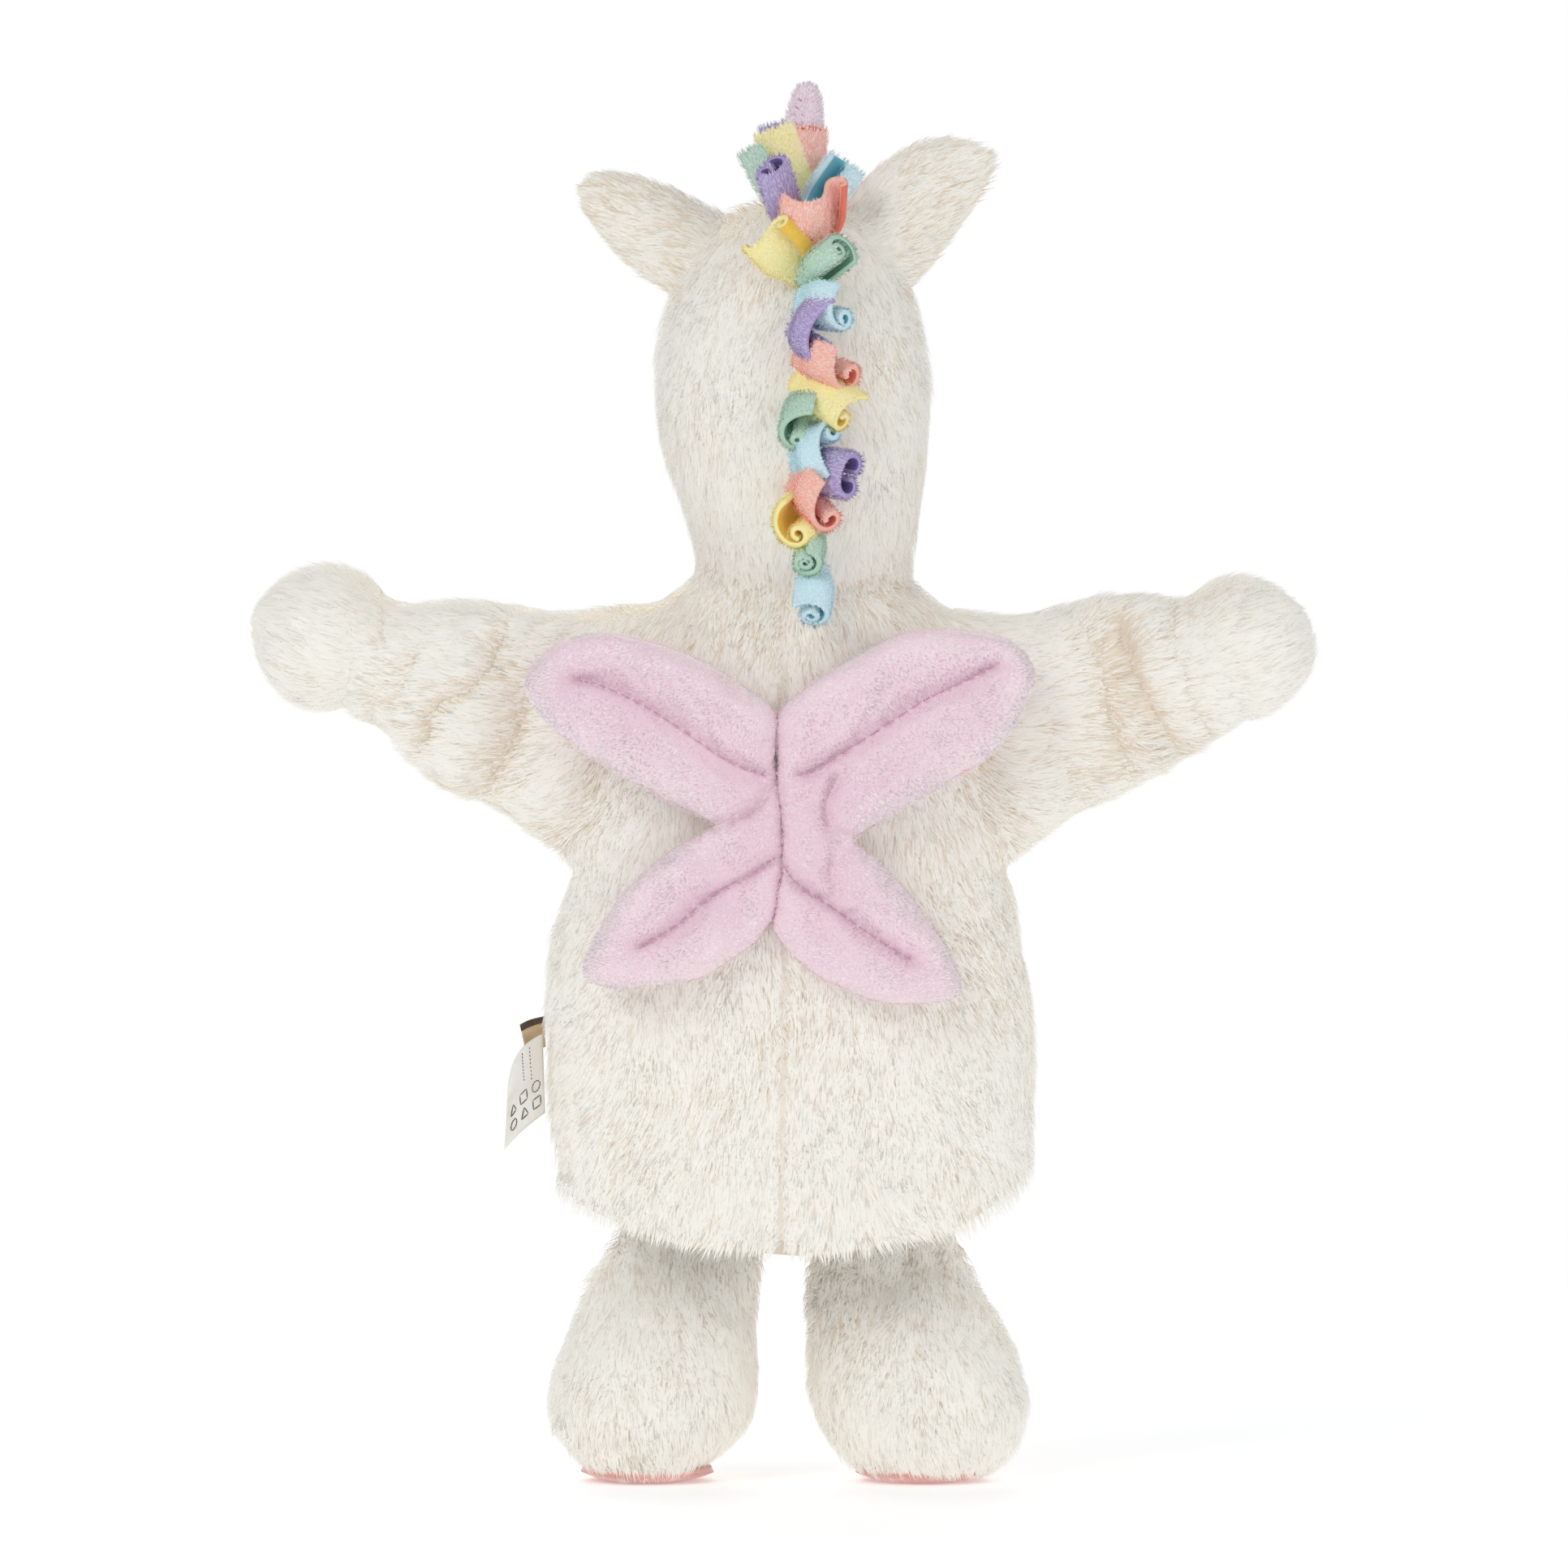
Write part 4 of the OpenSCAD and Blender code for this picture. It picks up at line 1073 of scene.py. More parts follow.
for side, pattern in WINGS.items():
    sign = 1 if side == "left" else -1
    flat, faces, on_rim = pattern_mesh(pattern["outline"], pattern["stitched"], PATTERN_STEP, 71)
    height = wing_height(flat, pattern)
    lift = 26.0 + 3.6 * smooth(2, 24, np.abs(flat[:, 0]))
    lift = lift + 0.9 * noise(np.column_stack([flat, flat[:, 0]]), 22, 72)
    under = np.where(on_rim, np.arange(len(flat)), len(flat) + np.cumsum(~on_rim) - 1)
    top = np.column_stack([flat[:, 0], lift + height, flat[:, 1]])
    bottom = np.column_stack([flat[:, 0], lift - 0.72 * height, flat[:, 1]])[~on_rim]
    all_faces = [tuple(f)[::-1] for f in faces] + [tuple(int(under[k]) for k in f) for f in faces]
    wing = outward(mesh_object(side + "_wing_velour", np.vstack([top, bottom]), all_faces, VELOUR))
    near_stitch = stitch_distance(flat, pattern) < 0.5
    rooted = np.abs(flat[:, 0]) < 3.2
    held = np.where(on_rim | near_stitch | rooted, 1.0, 0.0)
    held = np.concatenate([held, held[~on_rim]])
    before = read_mesh(wing)[0]
    after = settle(wing, held, 2.2, 0.045)
    move = after - before
    step = np.linalg.norm(move, axis=1, keepdims=True)
    after = before + move * np.minimum(1, MOST_MOVE / np.maximum(step, 1e-6))
    set_points(wing, after)
    print(side, "wing settled, moved up to", round(float(step.max()), 2), "mm")
    round_off = wing.modifiers.new("round", "SUBSURF")
    round_off.levels = 1
    applied(wing)
    points, normals, triangles = read_mesh(wing)
    place, way, _ = scatter(points, normals, triangles, WING_FIBRES, 75 + sign)
    lie = np.stack([sign * np.ones(len(place)), 0 * place[:, 0], -0.4 * np.ones(len(place))], 1)
    lie += 0.8 * noise3(place, 7, 76)
    # Painted light: upper-face fibres are a deeper pink on the crowns, leaving the rims light as a
    # painted sheen, and as painted shade along the stitches and near the gathered root.
    flat = place[:, [0, 2]]
    to_rim = rim_distance(flat, through(pattern["outline"], 300, True))
    to_line = stitch_distance(flat, pattern)
    to_root = np.hypot(flat[:, 0], 0.35 * (flat[:, 1] - 105))
    shaded = 0.75 * smooth(3, 9, to_rim) + 0.5 * smooth(5, 1, to_line) + 0.4 * smooth(18, 6, to_root)
    shaded *= place[:, 1] > 27
    deep = np.random.default_rng(80).random(len(place)) < shaded
    fuzz = blades(side + "_wing_pile", place[~deep], way[~deep], lie[~deep], 1.35, 0.9, 0.22, 0.25,
                  pink_pile, 79)
    painted_shade_pile = blades(side + "_wing_painted_shade_pile", place[deep], way[deep], lie[deep], 1.35, 0.75, 0.22, 0.25,
                      deep_pink_pile, 81)
    stitches = []
    for line in pattern["stitched"]:
        path = through(line, int(length_of(line) / STITCH) * 4 + 1)
        for k in range(0, len(path) - 3, 4):
            dash = []
            for x, z in path[k:k + 4]:
                close = np.hypot(points[:, 0] - x, points[:, 2] - z) < 1.1
                dash.append((x, points[close, 1].max() + 0.3, z))
            stitches.append(dash)
    quilting = threads(side + "_wing_stitches", stitches, 0.2, PINK_THREAD)
    bend = ("torso", side + "_wing", (2 * sign, 30, 105), (12 * sign, 30, 105))
    for obj in (wing, fuzz, painted_shade_pile, quilting):
        moves(obj, bend)
    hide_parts(side + "_wing_back", side + "_wing_front", side + "_wing_padding")

# %% [markdown]
# ## Mane
# Each lock of the mane is a strip of minky, pinched where it is sewn into the seam and rolled
# along its length, so its free end shows a scroll. Seen from the end, the strip is a curve that
# bends more and more tightly, which never crosses itself. Some are rolled from both edges.

# %% Rolled strips
# Each colour: the pile's tips, the pile's roots, and the bare inner face.
MANE_COLOURS = {
    "purple": (srgb(178, 158, 206), srgb(146, 126, 182), srgb(116, 98, 156)),
    "coral": (srgb(252, 192, 176), srgb(240, 160, 144), srgb(236, 126, 108)),
    "yellow": (srgb(255, 242, 150), srgb(248, 224, 112), srgb(250, 206, 84)),
    "green": (srgb(184, 214, 194), srgb(148, 186, 164), srgb(112, 160, 134)),
    "blue": (srgb(210, 238, 247), srgb(170, 218, 232), srgb(116, 196, 214)),
}
# Each lock: root (x, y, z), free end (x, y, z), width of the strip, bends at its start, middle
# and end in radians per mm, and how far the scroll is turned about its own length, in degrees.
# A bend below 0 rolls the strip the other way.
LOCKS = [
    ((-2, -5, 256), (3.2, -1, 278.0), 22, 0.15, 0.30, 0.80, 20),
    ((-3.5, 4, 256), (-6.0, 9, 276.5), 25, 0.12, 0.24, 0.50, 20),
    ((-4.4, 11, 256), (3.0, 14, 275.6), 10.6, 0.12, 0.18, 0.12, 135),
    ((-1, 14, 253), (8.6, 16, 270.6), 22, 0.18, 0.40, 0.80, 150),
    ((-5, 15, 253), (-15.0, 17, 267.0), 25, 0.10, 0.24, 0.80, 250),
    ((-2, 20, 249), (3.4, 31, 265.4), 26, 0.70, 0.14, 0.70, 170),
    ((-6.2, 22, 244.5), (-7.0, 35, 259.3), 27, -0.14, -0.22, 0.80, 68),
    ((-5.0, 25, 239.5), (4.9, 36, 248.8), 22, -0.62, 0.05, 1.00, 165),
    ((-3.6, 26, 237.0), (-14.0, 38, 244.4), 27, -0.16, -0.34, -0.95, -120),
    ((-3.0, 27, 232.6), (-13.6, 39, 230.8), 24, -0.08, -0.22, -0.85, 40),
    ((-3.4, 27, 229.0), (-9.8, 40, 224.6), 31, -0.05, -0.13, -0.68, 30),
    ((-3.0, 28, 219.6), (-14.4, 39, 215.4), 27, -0.09, -0.18, -0.62, 10),
    ((-2.8, 28, 214.6), (-15.6, 38, 205.4), 24, -0.06, -0.22, -0.75, 80),
    ((-4.4, 27.5, 210.6), (-2.4, 39, 201.0), 28, -0.08, -0.20, -0.88, -10),
    ((-2.0, 27, 194.2), (-10.8, 38, 196.2), 26, 0.05, 0.15, 0.80, 150),
    ((-4.6, 26.5, 192.0), (-15.4, 37, 189.8), 27, -0.58, -0.10, -0.58, -90),
    ((-2.2, 26, 189.4), (-9.6, 38, 181.8), 27, -0.05, -0.15, -0.72, -10),
    ((-5.4, 25, 181.4), (-0.8, 36, 177.4), 27, -0.12, -0.20, -0.78, -80),
    ((-7.0, 23, 177.4), (-5.4, 35, 168.6), 27, 0.24, 0.40, 0.98, 170),
    ((-7.4, 21.5, 168.4), (-6.0, 31.5, 156.4), 30, 0.20, 0.27, 0.80, 110),
]


STRIP_COUNT, STRIP_RINGS, STRIP_THICK = 46, 18, 1.2
LOCK_FIBRES = 1900


def strip_end(width, start, middle, end, turn):
    """The strip seen from its end: an open curve about its own middle, turned by an angle."""
    s = np.linspace(0, 1, STRIP_COUNT)
    bend = np.interp(s, [0, 0.5, 1], [start, middle, end])
    angle = np.cumsum(bend) * width / STRIP_COUNT + math.radians(turn)
    line = np.cumsum(np.stack([np.cos(angle), np.sin(angle)], 1), axis=0) * width / STRIP_COUNT
    return line - (line.max(axis=0) + line.min(axis=0)) / 2


def rolled_strip(root, tip, section):
    """The solid strip from its pinched root to its open scroll."""
    root, tip = np.array(root, float), np.array(tip, float)
    along = unit(tip - root)
    across = unit(np.cross(along, [0.0, 1.0, 0.0]) + 1e-6)
    over = np.cross(across, along)
    n = len(section)
    points = []
    for u in np.linspace(0, 1, STRIP_RINGS):
        opened = 0.22 + 0.78 * smooth(0.0, 0.6, u)
        line = section * [0.62 + 0.38 * smooth(0.0, 0.5, u), opened]
        way = unit(np.gradient(line, axis=0))
        off = np.stack([-way[:, 1], way[:, 0]], 1) * STRIP_THICK / 2 * (0.75 + 0.25 * opened)
        ring = np.vstack([line + off, (line - off)[::-1]])
        centre = root + (tip - root) * u + np.array([0, 1, 0]) * 1.6 * math.sin(math.pi * u)
        points.append(centre + ring[:, :1] * across + ring[:, 1:] * over)
    m = 2 * n
    faces = net(STRIP_RINGS, m)
    for start in (0, (STRIP_RINGS - 1) * m):
        faces += [(start + k, start + k + 1, start + m - 2 - k, start + m - 1 - k) for k in range(n - 1)]
    return np.vstack(points), faces


def outer_side(corners, start):
    """Whether corners of the strip lie on the face that its roll turns outwards."""
    return (corners % (2 * STRIP_COUNT) >= STRIP_COUNT) == (start > 0)


for number, (root, tip, width, start, middle, end, turn) in enumerate(LOCKS, 1):
    colour = list(MANE_COLOURS)[(number - 1) % 5]
    light, dark, deep = MANE_COLOURS[colour]
    name = f"mane_lock_{number:02d}"
    faced = bpy.data.materials.get("mane_" + colour) \
        or fabric("mane_" + colour, light, dark, 150, 1400, 0.3, 0.0003, 0.5)
    hidden = bpy.data.materials.get("mane_inside_" + colour) \
        or fabric("mane_inside_" + colour, deep, tuple(0.8 * k for k in deep), 150, 1400, 0.4, 0.0003, 0.3)
    shape, faces = rolled_strip(root, tip, strip_end(width, start, middle, end, turn))
    lock = outward(mesh_object(name, shape, faces, faced))
    lock.data.materials.append(hidden)
    points, normals, triangles = read_mesh(lock)
    for polygon in lock.data.polygons:
        polygon.material_index = int(not outer_side(np.array(polygon.vertices), start).any())
    triangles = triangles[outer_side(triangles, start).all(axis=1)]
    place, way, _ = scatter(points, normals, triangles, LOCK_FIBRES, 200 + number)
    lie = np.tile(np.subtract(tip, root), (LOCK_FIBRES, 1))
    pale = tuple(0.5 + 0.5 * k for k in light)
    fuzz = blades(name + "_pile", place, way, lie, 1.5, 0.8, 0.25, 0.3,
                  lambda squares: pile_material("mane_pile_" + colour, dark, pale, squares, 0.2, 0.3),
                  300 + number, 1.2)
    for obj in (lock, fuzz):
        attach(obj, "head")
    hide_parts(f"mane_curl_{number:02d}")

# %% [markdown]
# ## Horn, muzzle and face
# The horn is a small velour cone with its seam at the back, stitched shut from outside. The
# muzzle is a velour pad on the front of the head. The eyes are domed beads, and the nostrils and
# the smile are satin stitches: rows of threads laid close together over the velour.

# %% Short pile over a finished mesh
def soft(obj, count, seed, lie, pile, length=1.35, rise=0.9, width=0.24, keep=None):
    """A short pile over a finished mesh."""
    points, normals, triangles = read_mesh(obj)
    if keep is not None:
        triangles = triangles[keep(points[triangles].mean(axis=1))]
    place, way, _ = scatter(points, normals, triangles, count, seed)
    return blades(obj.name + "_pile", place, way, lie(place), length, rise, width, 0.3, pile, seed + 1)


# %% Horn
HORN_VELOUR = fabric("horn_velour", srgb(244, 224, 235), srgb(232, 206, 221),
                     70, 1500, 0.35, 0.0004, 0.8, 0.85)
# Each row of the horn and the muzzle: a point on the middle line and the radius there.
HORN_ROWS = [
    (-3.6, -12, 250, 8), (-3.8, -14, 258, 7.2), (-4.2, -17, 268, 5.9), (-4.5, -19, 277.4, 4.9),
    (-5.1, -21, 285, 3.9), (-5.4, -21.8, 288.8, 2.6), (-5.4, -22, 289.9, 0.4),
]
horn_line = through(HORN_ROWS, 44)
horn = outward(mesh_object("horn_velour", *tube(horn_line[:, :3], horn_line[:, 3], 40), HORN_VELOUR))
points, normals, _ = read_mesh(horn)
HORN_SEAM = [(-2.8, 268), (-3.0, 274.4), (-3.7, 281), (-4.8, 287.2)]
d, _ = line_distance(points[:, [0, 2]], through(HORN_SEAM, 40))
behind = smooth(-20, -16, points[:, 1] + 0.26 * (points[:, 2] - 277))
points = points + normals * (0.3 * noise(points, 5, 81) - behind * 0.9 * np.exp(-(d / 0.9) ** 2))[:, None]
set_points(horn, points)


def horn_pile(squares):
    return pile_material("horn_pile", srgb(232, 204, 220), srgb(250, 236, 243), squares, 0.3, 0.4)


horn_fuzz = soft(horn, 6000, 82, lambda p: np.tile((-0.1, -0.3, 1.0), (len(p), 1)), horn_pile, 1.1, 0.8)
# The seam's stitches sit on the horn's back, so its front is moved out of the search.
horn_surface = KDTree(len(points))
for k, p in enumerate(points):
    horn_surface.insert(p if p[1] > np.interp(p[2], [250, 289], [-12, -22]) else (p[0], -99, p[2]), k)
horn_surface.balance()
dashes = []
for x, z in through(HORN_SEAM, 11)[1:-1]:
    found = horn_surface.find_n((x, np.interp(z, [250, 289], [-4, -19]), z), 3)
    near = points[[i for _, i, _ in found]].mean(axis=0)
    for offset in (-0.9, 0.9):
        dashes.append([near + (offset - 0.55, 0.25, -0.5), near + (offset + 0.25, 0.45, 0),
                       near + (offset + 0.75, 0.15, 0.5)])
horn_stitches = threads("horn_stitches", dashes, 0.22, PINK_THREAD)
for obj in (horn, horn_fuzz, horn_stitches):
    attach(obj, "head")
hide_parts("horn_cover", "horn_stuffing")

# %% Muzzle
MUZZLE_ROWS = [
    (-2, -22, 199.2, 17.6), (-2, -30, 199, 18), (-2, -38, 198.8, 17.6), (-2, -45, 198.5, 15.8),
    (-2, -50.5, 198.3, 12.8), (-2, -54.2, 198.2, 8.8), (-2, -56, 198.1, 4.6), (-2, -56.6, 198.1, 0.5),
]
muzzle_line = through(MUZZLE_ROWS, 40)
muzzle_form = tube(muzzle_line[:, :3], muzzle_line[:, 3], 64, 0.84, (0.02, 0.05, 1.0))
muzzle = outward(mesh_object("muzzle_velour", *muzzle_form, VELOUR))
points, normals, _ = read_mesh(muzzle)
points = points + normals * (0.35 * noise(points, 9, 84))[:, None]
set_points(muzzle, points)
muzzle_fuzz = soft(muzzle, 12000, 85, lambda p: np.outer(p[:, 0], (0.02, 0, 0)) + (0, 0.9, -0.5), pink_pile,
                   keep=lambda m: m[:, 1] < -28)
for obj in (muzzle, muzzle_fuzz):
    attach(obj, "head")
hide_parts("muzzle")

# %% Nostrils and smile
EMBROIDERY = fabric("embroidery", srgb(176, 128, 158), srgb(150, 104, 134), 400, 4000, 0.3, 0.0002, 0.2, 0.45)
muzzle_tree = KDTree(len(points))
for k, p in enumerate(points):
    muzzle_tree.insert((p[0], 0, p[2]) if p[1] < -40 else (p[0], 500, p[2]), k)
muzzle_tree.balance()


def on_muzzle(x, z, out=0.75):
    """The point on the muzzle's front at x and z, a little out from it."""
    found = muzzle_tree.find_n((x, 0, z), 4)
    weight = np.array([1 / (d + 0.3) for _, _, d in found])
    y = (points[[i for _, i, _ in found], 1] * weight).sum() / weight.sum()
    return (x, y - out, z)


NOSTRILS, NOSTRIL_Z, SMILE_Z, SMILE_HALF = (-8.2, 4.2), 202.6, 192.4, 7.4
stitches = []
for centre in NOSTRILS:
    for t in np.linspace(-1, 1, 11):
        half = 1.15 * math.sqrt(1 - 0.85 * t * t)
        z = NOSTRIL_Z + 2.1 * t
        stitches.append([on_muzzle(centre - half, z), on_muzzle(centre, z + 0.1, 1.25),
                         on_muzzle(centre + half, z)])
for t in np.linspace(-1, 1, 27):
    x = MUZZLE[0] + SMILE_HALF * t
    z = SMILE_Z + 2.6 * t * t
    stitches.append([on_muzzle(x, z - 0.55), on_muzzle(x, z, 1.2), on_muzzle(x + 0.15, z + 0.55)])
face_stitches = threads("nostrils_and_smile", stitches, 0.33, EMBROIDERY)
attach(face_stitches, "head")
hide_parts("face_embroidery")

# %% Eyes
EYE_R, LASH_ANGLES = 4.3, (8, 34, 60)
EYE = bpy.data.materials.new("eye_bead")
EYE.use_nodes = True
tree = EYE.node_tree
bead = tree.nodes["Principled BSDF"]
bead.inputs["Roughness"].default_value = 0.08
bead.inputs["Coat Weight"].default_value = 0.6
bead.inputs["Coat Roughness"].default_value = 0.03
wear = tree.nodes.new("ShaderNodeTexNoise")
wear.inputs["Scale"].default_value = 320
tint = tree.nodes.new("ShaderNodeMix")
tint.data_type = "RGBA"
tint.inputs["A"].default_value = (0.010, 0.007, 0.006, 1)
tint.inputs["B"].default_value = (0.030, 0.019, 0.014, 1)
place = tree.nodes.new("ShaderNodeTexCoord")
tree.links.new(place.outputs["Object"], wear.inputs["Vector"])
tree.links.new(wear.outputs["Fac"], tint.inputs["Factor"])
tree.links.new(tint.outputs["Result"], bead.inputs["Base Color"])
LASH = fabric("lash_thread", srgb(120, 92, 84), srgb(96, 70, 64), 400, 4000, 0.3, 0.0002, 0.2, 0.5)
for side, (x, y, z) in zip(("left", "right"), EYES):
    rows = np.linspace(0, math.pi / 2, 14)
    path = [(x + 0.12 * math.copysign(1, x) * k, y + 2.0 - 4.6 * math.sin(a), z) for k, a in enumerate(rows)]
    dome = tube(path, EYE_R * np.maximum(np.cos(rows), 0.02), 40)
    eye_dome = outward(mesh_object(side + "_eye_bead", *dome, EYE))
    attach(eye_dome, "head")
    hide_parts(side + "_eye")
    out = math.copysign(1, x)
    lashes = []
    for a in LASH_ANGLES:
        c, s = math.cos(math.radians(a)), math.sin(math.radians(a))
        lashes.append([(x + out * 4.2 * c, y - 1.2, z + 4.2 * s),
                       (x + out * 6.0 * c, y - 1.3, z + 5.8 * s + 0.2),
                       (x + out * 7.8 * c, y + 0.4, z + 7.2 * s + 1.0)])
    lash = threads(side + "_lashes", lashes, 0.36, LASH)
    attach(lash, "head")

# %% [markdown]
# ## Lining, opening and labels
# Inside is a plain lining with a pocket for the first finger in the head. Its edge and the edge
# of the fur are bound together with a folded tape. The label sewn in the side seam carries only
# plain bars and simple outlines, in place of printing.

# %% Lining and finger pocket
# Flat, the lining is as wide as the way round the sleeve, and the pocket as the way round a finger.
CLOTH_THICK, LINING_INSET, NECK_R = 0.5, 2.6, 10.6
RING = 72
LINING = fabric("lining_weave", srgb(240, 236, 228), srgb(226, 220, 208), 200, 2600, 0.35, 0.0003, 0.1, 0.85)
profile = through([(z, a, c, f, b) for a, z, c, _, f, b in TORSO], 90)


def inside_row(z, inset):
    """A ring of the sleeve at height z, moved in by inset; z may differ from point to point."""
    c, s = squarish(RING, SLEEVE_POWER)
    a, b, front, back = (np.interp(z, profile[:, 0], profile[:, k]) for k in (1, 2, 3, 4))
    x = (a + b) / 2 + ((a - b) / 2 - inset) * c
    y = (np.where(s > 0, back, front) - inset) * s
    return np.column_stack([x, y])


def lining_points(t, inset):
    """The lining's ring at t, from 0 at the hem to 1 at the neck."""
    z = np.full(RING, 20.0)
    for _ in range(4):
        flat = inside_row(z, inset)
        hem = hem_height(flat[:, 0])
        z = hem + (158 - hem) * t
    return np.column_stack([inside_row(z, inset), z])


rows = [lining_points(t, LINING_INSET) for t in np.linspace(0, 0.93, 44)]
neck = np.array([(-2 + NECK_R * math.cos(a), 2 + NECK_R * math.sin(a), 160) for a in circle(RING)])
rows += [rows[-1] * (1 - k) + neck * k for k in smooth(0, 1, np.linspace(0.15, 1, 7))]
lining = mesh_object("lining_cloth", np.vstack(rows), net(len(rows), RING), LINING)
points, normals, _ = read_mesh(lining)
over_hem = smooth(0, 14, points[:, 2] - hem_height(points[:, 0]))
points = points + normals * (0.9 * noise(points, 17, 91) * over_hem)[:, None]
set_points(lining, points)
thicken(lining, CLOTH_THICK)
moves(lining, NECK_BEND)
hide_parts("hand_lining")
# The finger pocket: heights and radii, in mm.
POCKET_ROWS = [(159.5, 10.9), (163, 10.3), (168, 9.9), (174, 9.8), (185, 9.8),
               (196, 9.8), (206, 9.6), (212, 8.4), (215.5, 5.6), (217, 0.6)]
pocket_line = through([(-2, 2, z, r) for z, r in POCKET_ROWS], 30)
pocket = mesh_object("finger_pocket", *tube(pocket_line[:, :3], pocket_line[:, 3], 36), LINING)
open_end = kept_faces(pocket, "finger_pocket_cloth", lambda m: m[:, 2] > 159.6)
bpy.data.objects.remove(pocket)
thicken(open_end, CLOTH_THICK)
moves(open_end, NECK_BEND)
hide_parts("finger_tube")

# %% Hem binding
BINDING = fabric("binding_tape", srgb(226, 214, 198), srgb(208, 194, 176), 250, 2200, 0.5, 0.0004, 0.1, 0.8)
TAPE_SIDES, TAPE_HALF_THICK, TAPE_HALF_HIGH, TAPE_DROP = 14, 1.15, 2.2, 0.6
edge = lining_points(0.0, 1.1)
radial = unit((edge - edge.mean(axis=0)) * [1, 1, 0])
tape_points = [edge[k] + radial[k] * TAPE_HALF_THICK * math.cos(a)
               + np.array([0, 0, TAPE_HALF_HIGH * math.sin(a) - TAPE_DROP])
               for k in range(RING) for a in circle(TAPE_SIDES)]
binding = outward(mesh_object("hem_tape", tape_points, net(RING, TAPE_SIDES, hoop=True), BINDING))
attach(binding, "torso")
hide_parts("hem_binding")

# %% Labels
TAPE = fabric("care_tape", srgb(240, 238, 232), srgb(228, 225, 217), 220, 3600, 0.25, 0.0002, 0.15, 0.6)
INK = fabric("label_ink", srgb(70, 66, 66), srgb(52, 48, 48), 500, 5000, 0.1, 0.0001, 0.0, 0.7)
TAB = fabric("woven_tab", srgb(208, 184, 150), srgb(190, 164, 128), 300, 4200, 0.4, 0.0003, 0.1, 0.75)
TAB_EDGE = fabric("tab_edge", srgb(92, 74, 62), srgb(72, 56, 46), 300, 4200, 0.4, 0.0003, 0.1, 0.75)


def patch(corners, bulge, across=24, down=30):
    """A curved sheet between four corners: seam top, outer top, outer bottom, seam bottom."""
    a, b, c, d = (np.array(k, float) for k in corners)
    u, v = np.meshgrid(np.linspace(0, 1, across), np.linspace(0, 1, down))
    u, v = u[..., None], v[..., None]
    sheet = (1 - v) * ((1 - u) * a + u * b) + v * ((1 - u) * d + u * c)
    belly = np.array(bulge) * (np.sin(np.pi * u) * (0.6 + 0.4 * np.cos(np.pi * v)))
    return sheet + belly + np.array([0, 1.1, 0]) * np.sin(2.2 * np.pi * v) * u


def sheet_mesh(name, grid, thick, material):
    """A cloth over a net of points, and its area before it gets its thickness."""
    obj = mesh_object(name, grid.reshape(-1, 3), net(*grid.shape[:2], closed=False), material)
    size = area_of(obj)
    return outward(thicken(obj, thick, 0)), size


CARE = [(60.2, 1.0, 53.0), (68.4, 5.5, 41.0), (69.4, 6.5, 24.6), (59.6, 1.0, 33.4)]
care_grid = patch(CARE, (1.6, 1.5, 1.6))
care, care_area = sheet_mesh("care_label_tape", care_grid, 0.25, TAPE)


def on_label(u, v, lift=0.24):
    """A point on the label: u out from the seam, v down."""
    down, across = care_grid.shape[:2]
    r, c = v * (down - 1), u * (across - 1)
    i, j = min(int(r), down - 2), min(int(c), across - 2)
    a, b = r - i, c - j
    p = ((1 - a) * ((1 - b) * care_grid[i, j] + b * care_grid[i, j + 1])
         + a * ((1 - b) * care_grid[i + 1, j] + b * care_grid[i + 1, j + 1]))
    return p + np.array([0.35, 0.93, 0.1]) * lift


def ink_line(points_uv):
    return [on_label(u, v) for u, v in points_uv]


# A ring, a box and a triangle, as shares of the label's width and height, and half a mark's width.
HALF = 0.085
OUTLINES = [
    [(HALF * math.cos(a), 0.75 * HALF * math.sin(a)) for a in np.linspace(0, 2 * np.pi, 13)],
    [(-HALF, -0.06), (HALF, -0.06), (HALF, 0.06), (-HALF, 0.06), (-HALF, -0.06)],
    [(-HALF, 0.05), (0, -0.07), (HALF, 0.05), (-HALF, 0.05)],
]
marks = []
for row, (start, stop) in enumerate([(0.08, 0.46), (0.08, 0.40)]):
    u = 0.24 + 0.16 * row
    marks += [ink_line([(u, v), (u, v + 0.026)]) for v in np.linspace(start, stop, 9)]
for row in range(2):
    for column in range(3):
        u, v = 0.16 + 0.29 * column, 0.60 + 0.20 * row
        ring = [(u + a, v + b) for a, b in OUTLINES[(row + column) % 3]]
        marks += [ink_line([p, q]) for p, q in zip(ring[:-1], ring[1:])]
ink = threads("care_label_marks", marks, 0.12, INK, 5)
for obj in (care, ink):
    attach(obj, "label")
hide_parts("care_label")
TAB_CORNERS = [(59.8, -2.4, 57.0), (65.6, -1.8, 54.6), (64.4, -1.0, 47.8), (59.6, -2.4, 49.6)]
tab_grid = patch(TAB_CORNERS, (0.3, 0.6, 0.2), 12, 16)
tab, tab_area = sheet_mesh("brand_tab_tape", tab_grid, 0.7, TAB)
edge_top, _ = sheet_mesh("brand_tab_edge", tab_grid[:4] + np.array([0.05, 0.1, 0.25]), 1.0, TAB_EDGE)
for obj in (tab, edge_top):
    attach(obj, "torso")
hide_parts("brand_tab")

# %% [markdown]
# ## Camera, floor and light
# The puppet stands on a white floor with three soft boxes: the key and the fill behind it, on the
# camera's side, and one for its face. The floor glows a little, so that it stays as white as the
# wall. A long lens from straight behind shows the true outline.

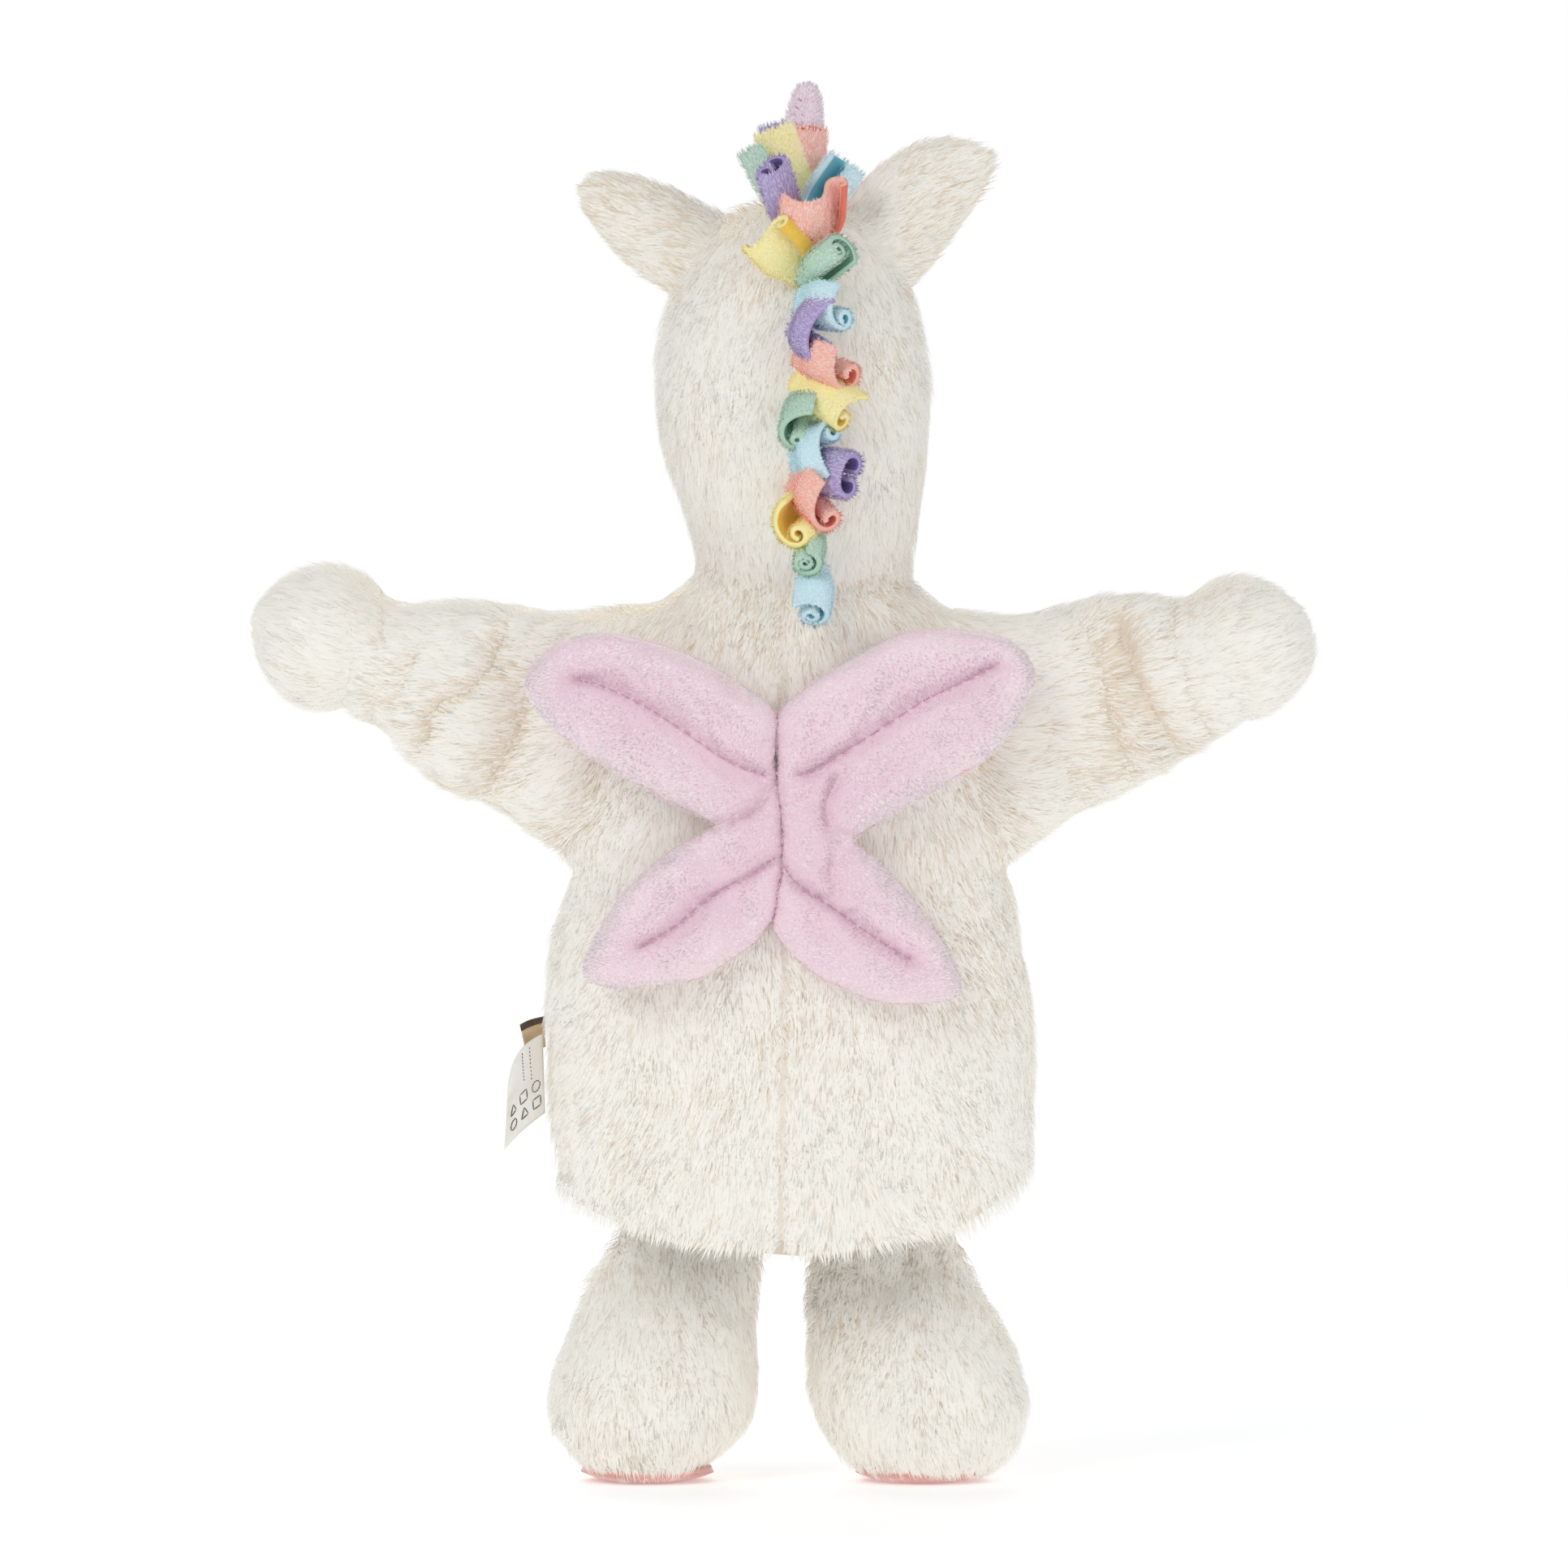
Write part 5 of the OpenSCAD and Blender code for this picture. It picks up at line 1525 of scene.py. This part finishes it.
# %% Studio
floor_z = CAD_BOX[0][2] - 0.0005
bpy.ops.mesh.primitive_cylinder_add(vertices=96, radius=0.8, depth=0.004, location=(0, 0, floor_z - 0.002))
floor = bpy.context.object
floor.name = "floor"
PAPER, PAPER_SHADE = (0.98, 0.98, 0.98), (0.965, 0.965, 0.965)
floor.data.materials.append(fabric("studio_floor", PAPER, PAPER_SHADE, 3, 40, 0.02, 0.0002, 0.0, 0.8))
glow = floor.data.materials[0].node_tree.nodes["Principled BSDF"]
glow.inputs["Emission Color"].default_value = (1, 1, 1, 1)
glow.inputs["Emission Strength"].default_value = 0.26
world = bpy.data.worlds.new("studio")
bpy.context.scene.world = world
world.use_nodes = True
nodes, links = world.node_tree.nodes, world.node_tree.links
sky, wall = nodes["Background"], nodes.new("ShaderNodeBackground")
sky.inputs["Color"].default_value = (0.97, 0.985, 1.0, 1)
sky.inputs["Strength"].default_value = 0.55
wall.inputs["Color"].default_value = (1, 1, 1, 1)
choose = nodes.new("ShaderNodeMixShader")
links.new(nodes.new("ShaderNodeLightPath").outputs["Is Camera Ray"], choose.inputs[0])
links.new(sky.outputs[0], choose.inputs[1])
links.new(wall.outputs[0], choose.inputs[2])
links.new(choose.outputs[0], nodes["World Output"].inputs["Surface"])


def softbox(name, place, aim, width, height, power):
    lamp = bpy.data.lights.new(name, "AREA")
    lamp.shape = "RECTANGLE"
    lamp.size, lamp.size_y = width, height
    lamp.energy = power
    obj = bpy.data.objects.new(name, lamp)
    bpy.context.scene.collection.objects.link(obj)
    obj.location = place
    obj.rotation_euler = (Vector(aim) - Vector(place)).to_track_quat("-Z", "Y").to_euler()


softbox("key", (0.9, 1.3, 1.1), (0, 0, 0.12), 0.9, 0.9, 9.0)
softbox("fill", (-1.2, 0.9, 0.5), (0, 0, 0.12), 1.0, 1.0, 4)
softbox("front", (0.2, -1.6, 0.9), (0, 0, 0.12), 1.2, 1.0, 8)
camera = bpy.data.cameras.new("camera")
camera.lens = 180
camera.sensor_width = 36
eye = bpy.data.objects.new("camera", camera)
bpy.context.scene.collection.objects.link(eye)
VIEW_WIDTH = 0.3864
distance = camera.lens / camera.sensor_width * VIEW_WIDTH
eye.location = (0.0004, distance + 0.010, 0.1148)
eye.rotation_euler = (math.radians(90), 0, math.radians(180))
bpy.context.scene.camera = eye
bpy.context.scene.view_settings.view_transform = "Standard"
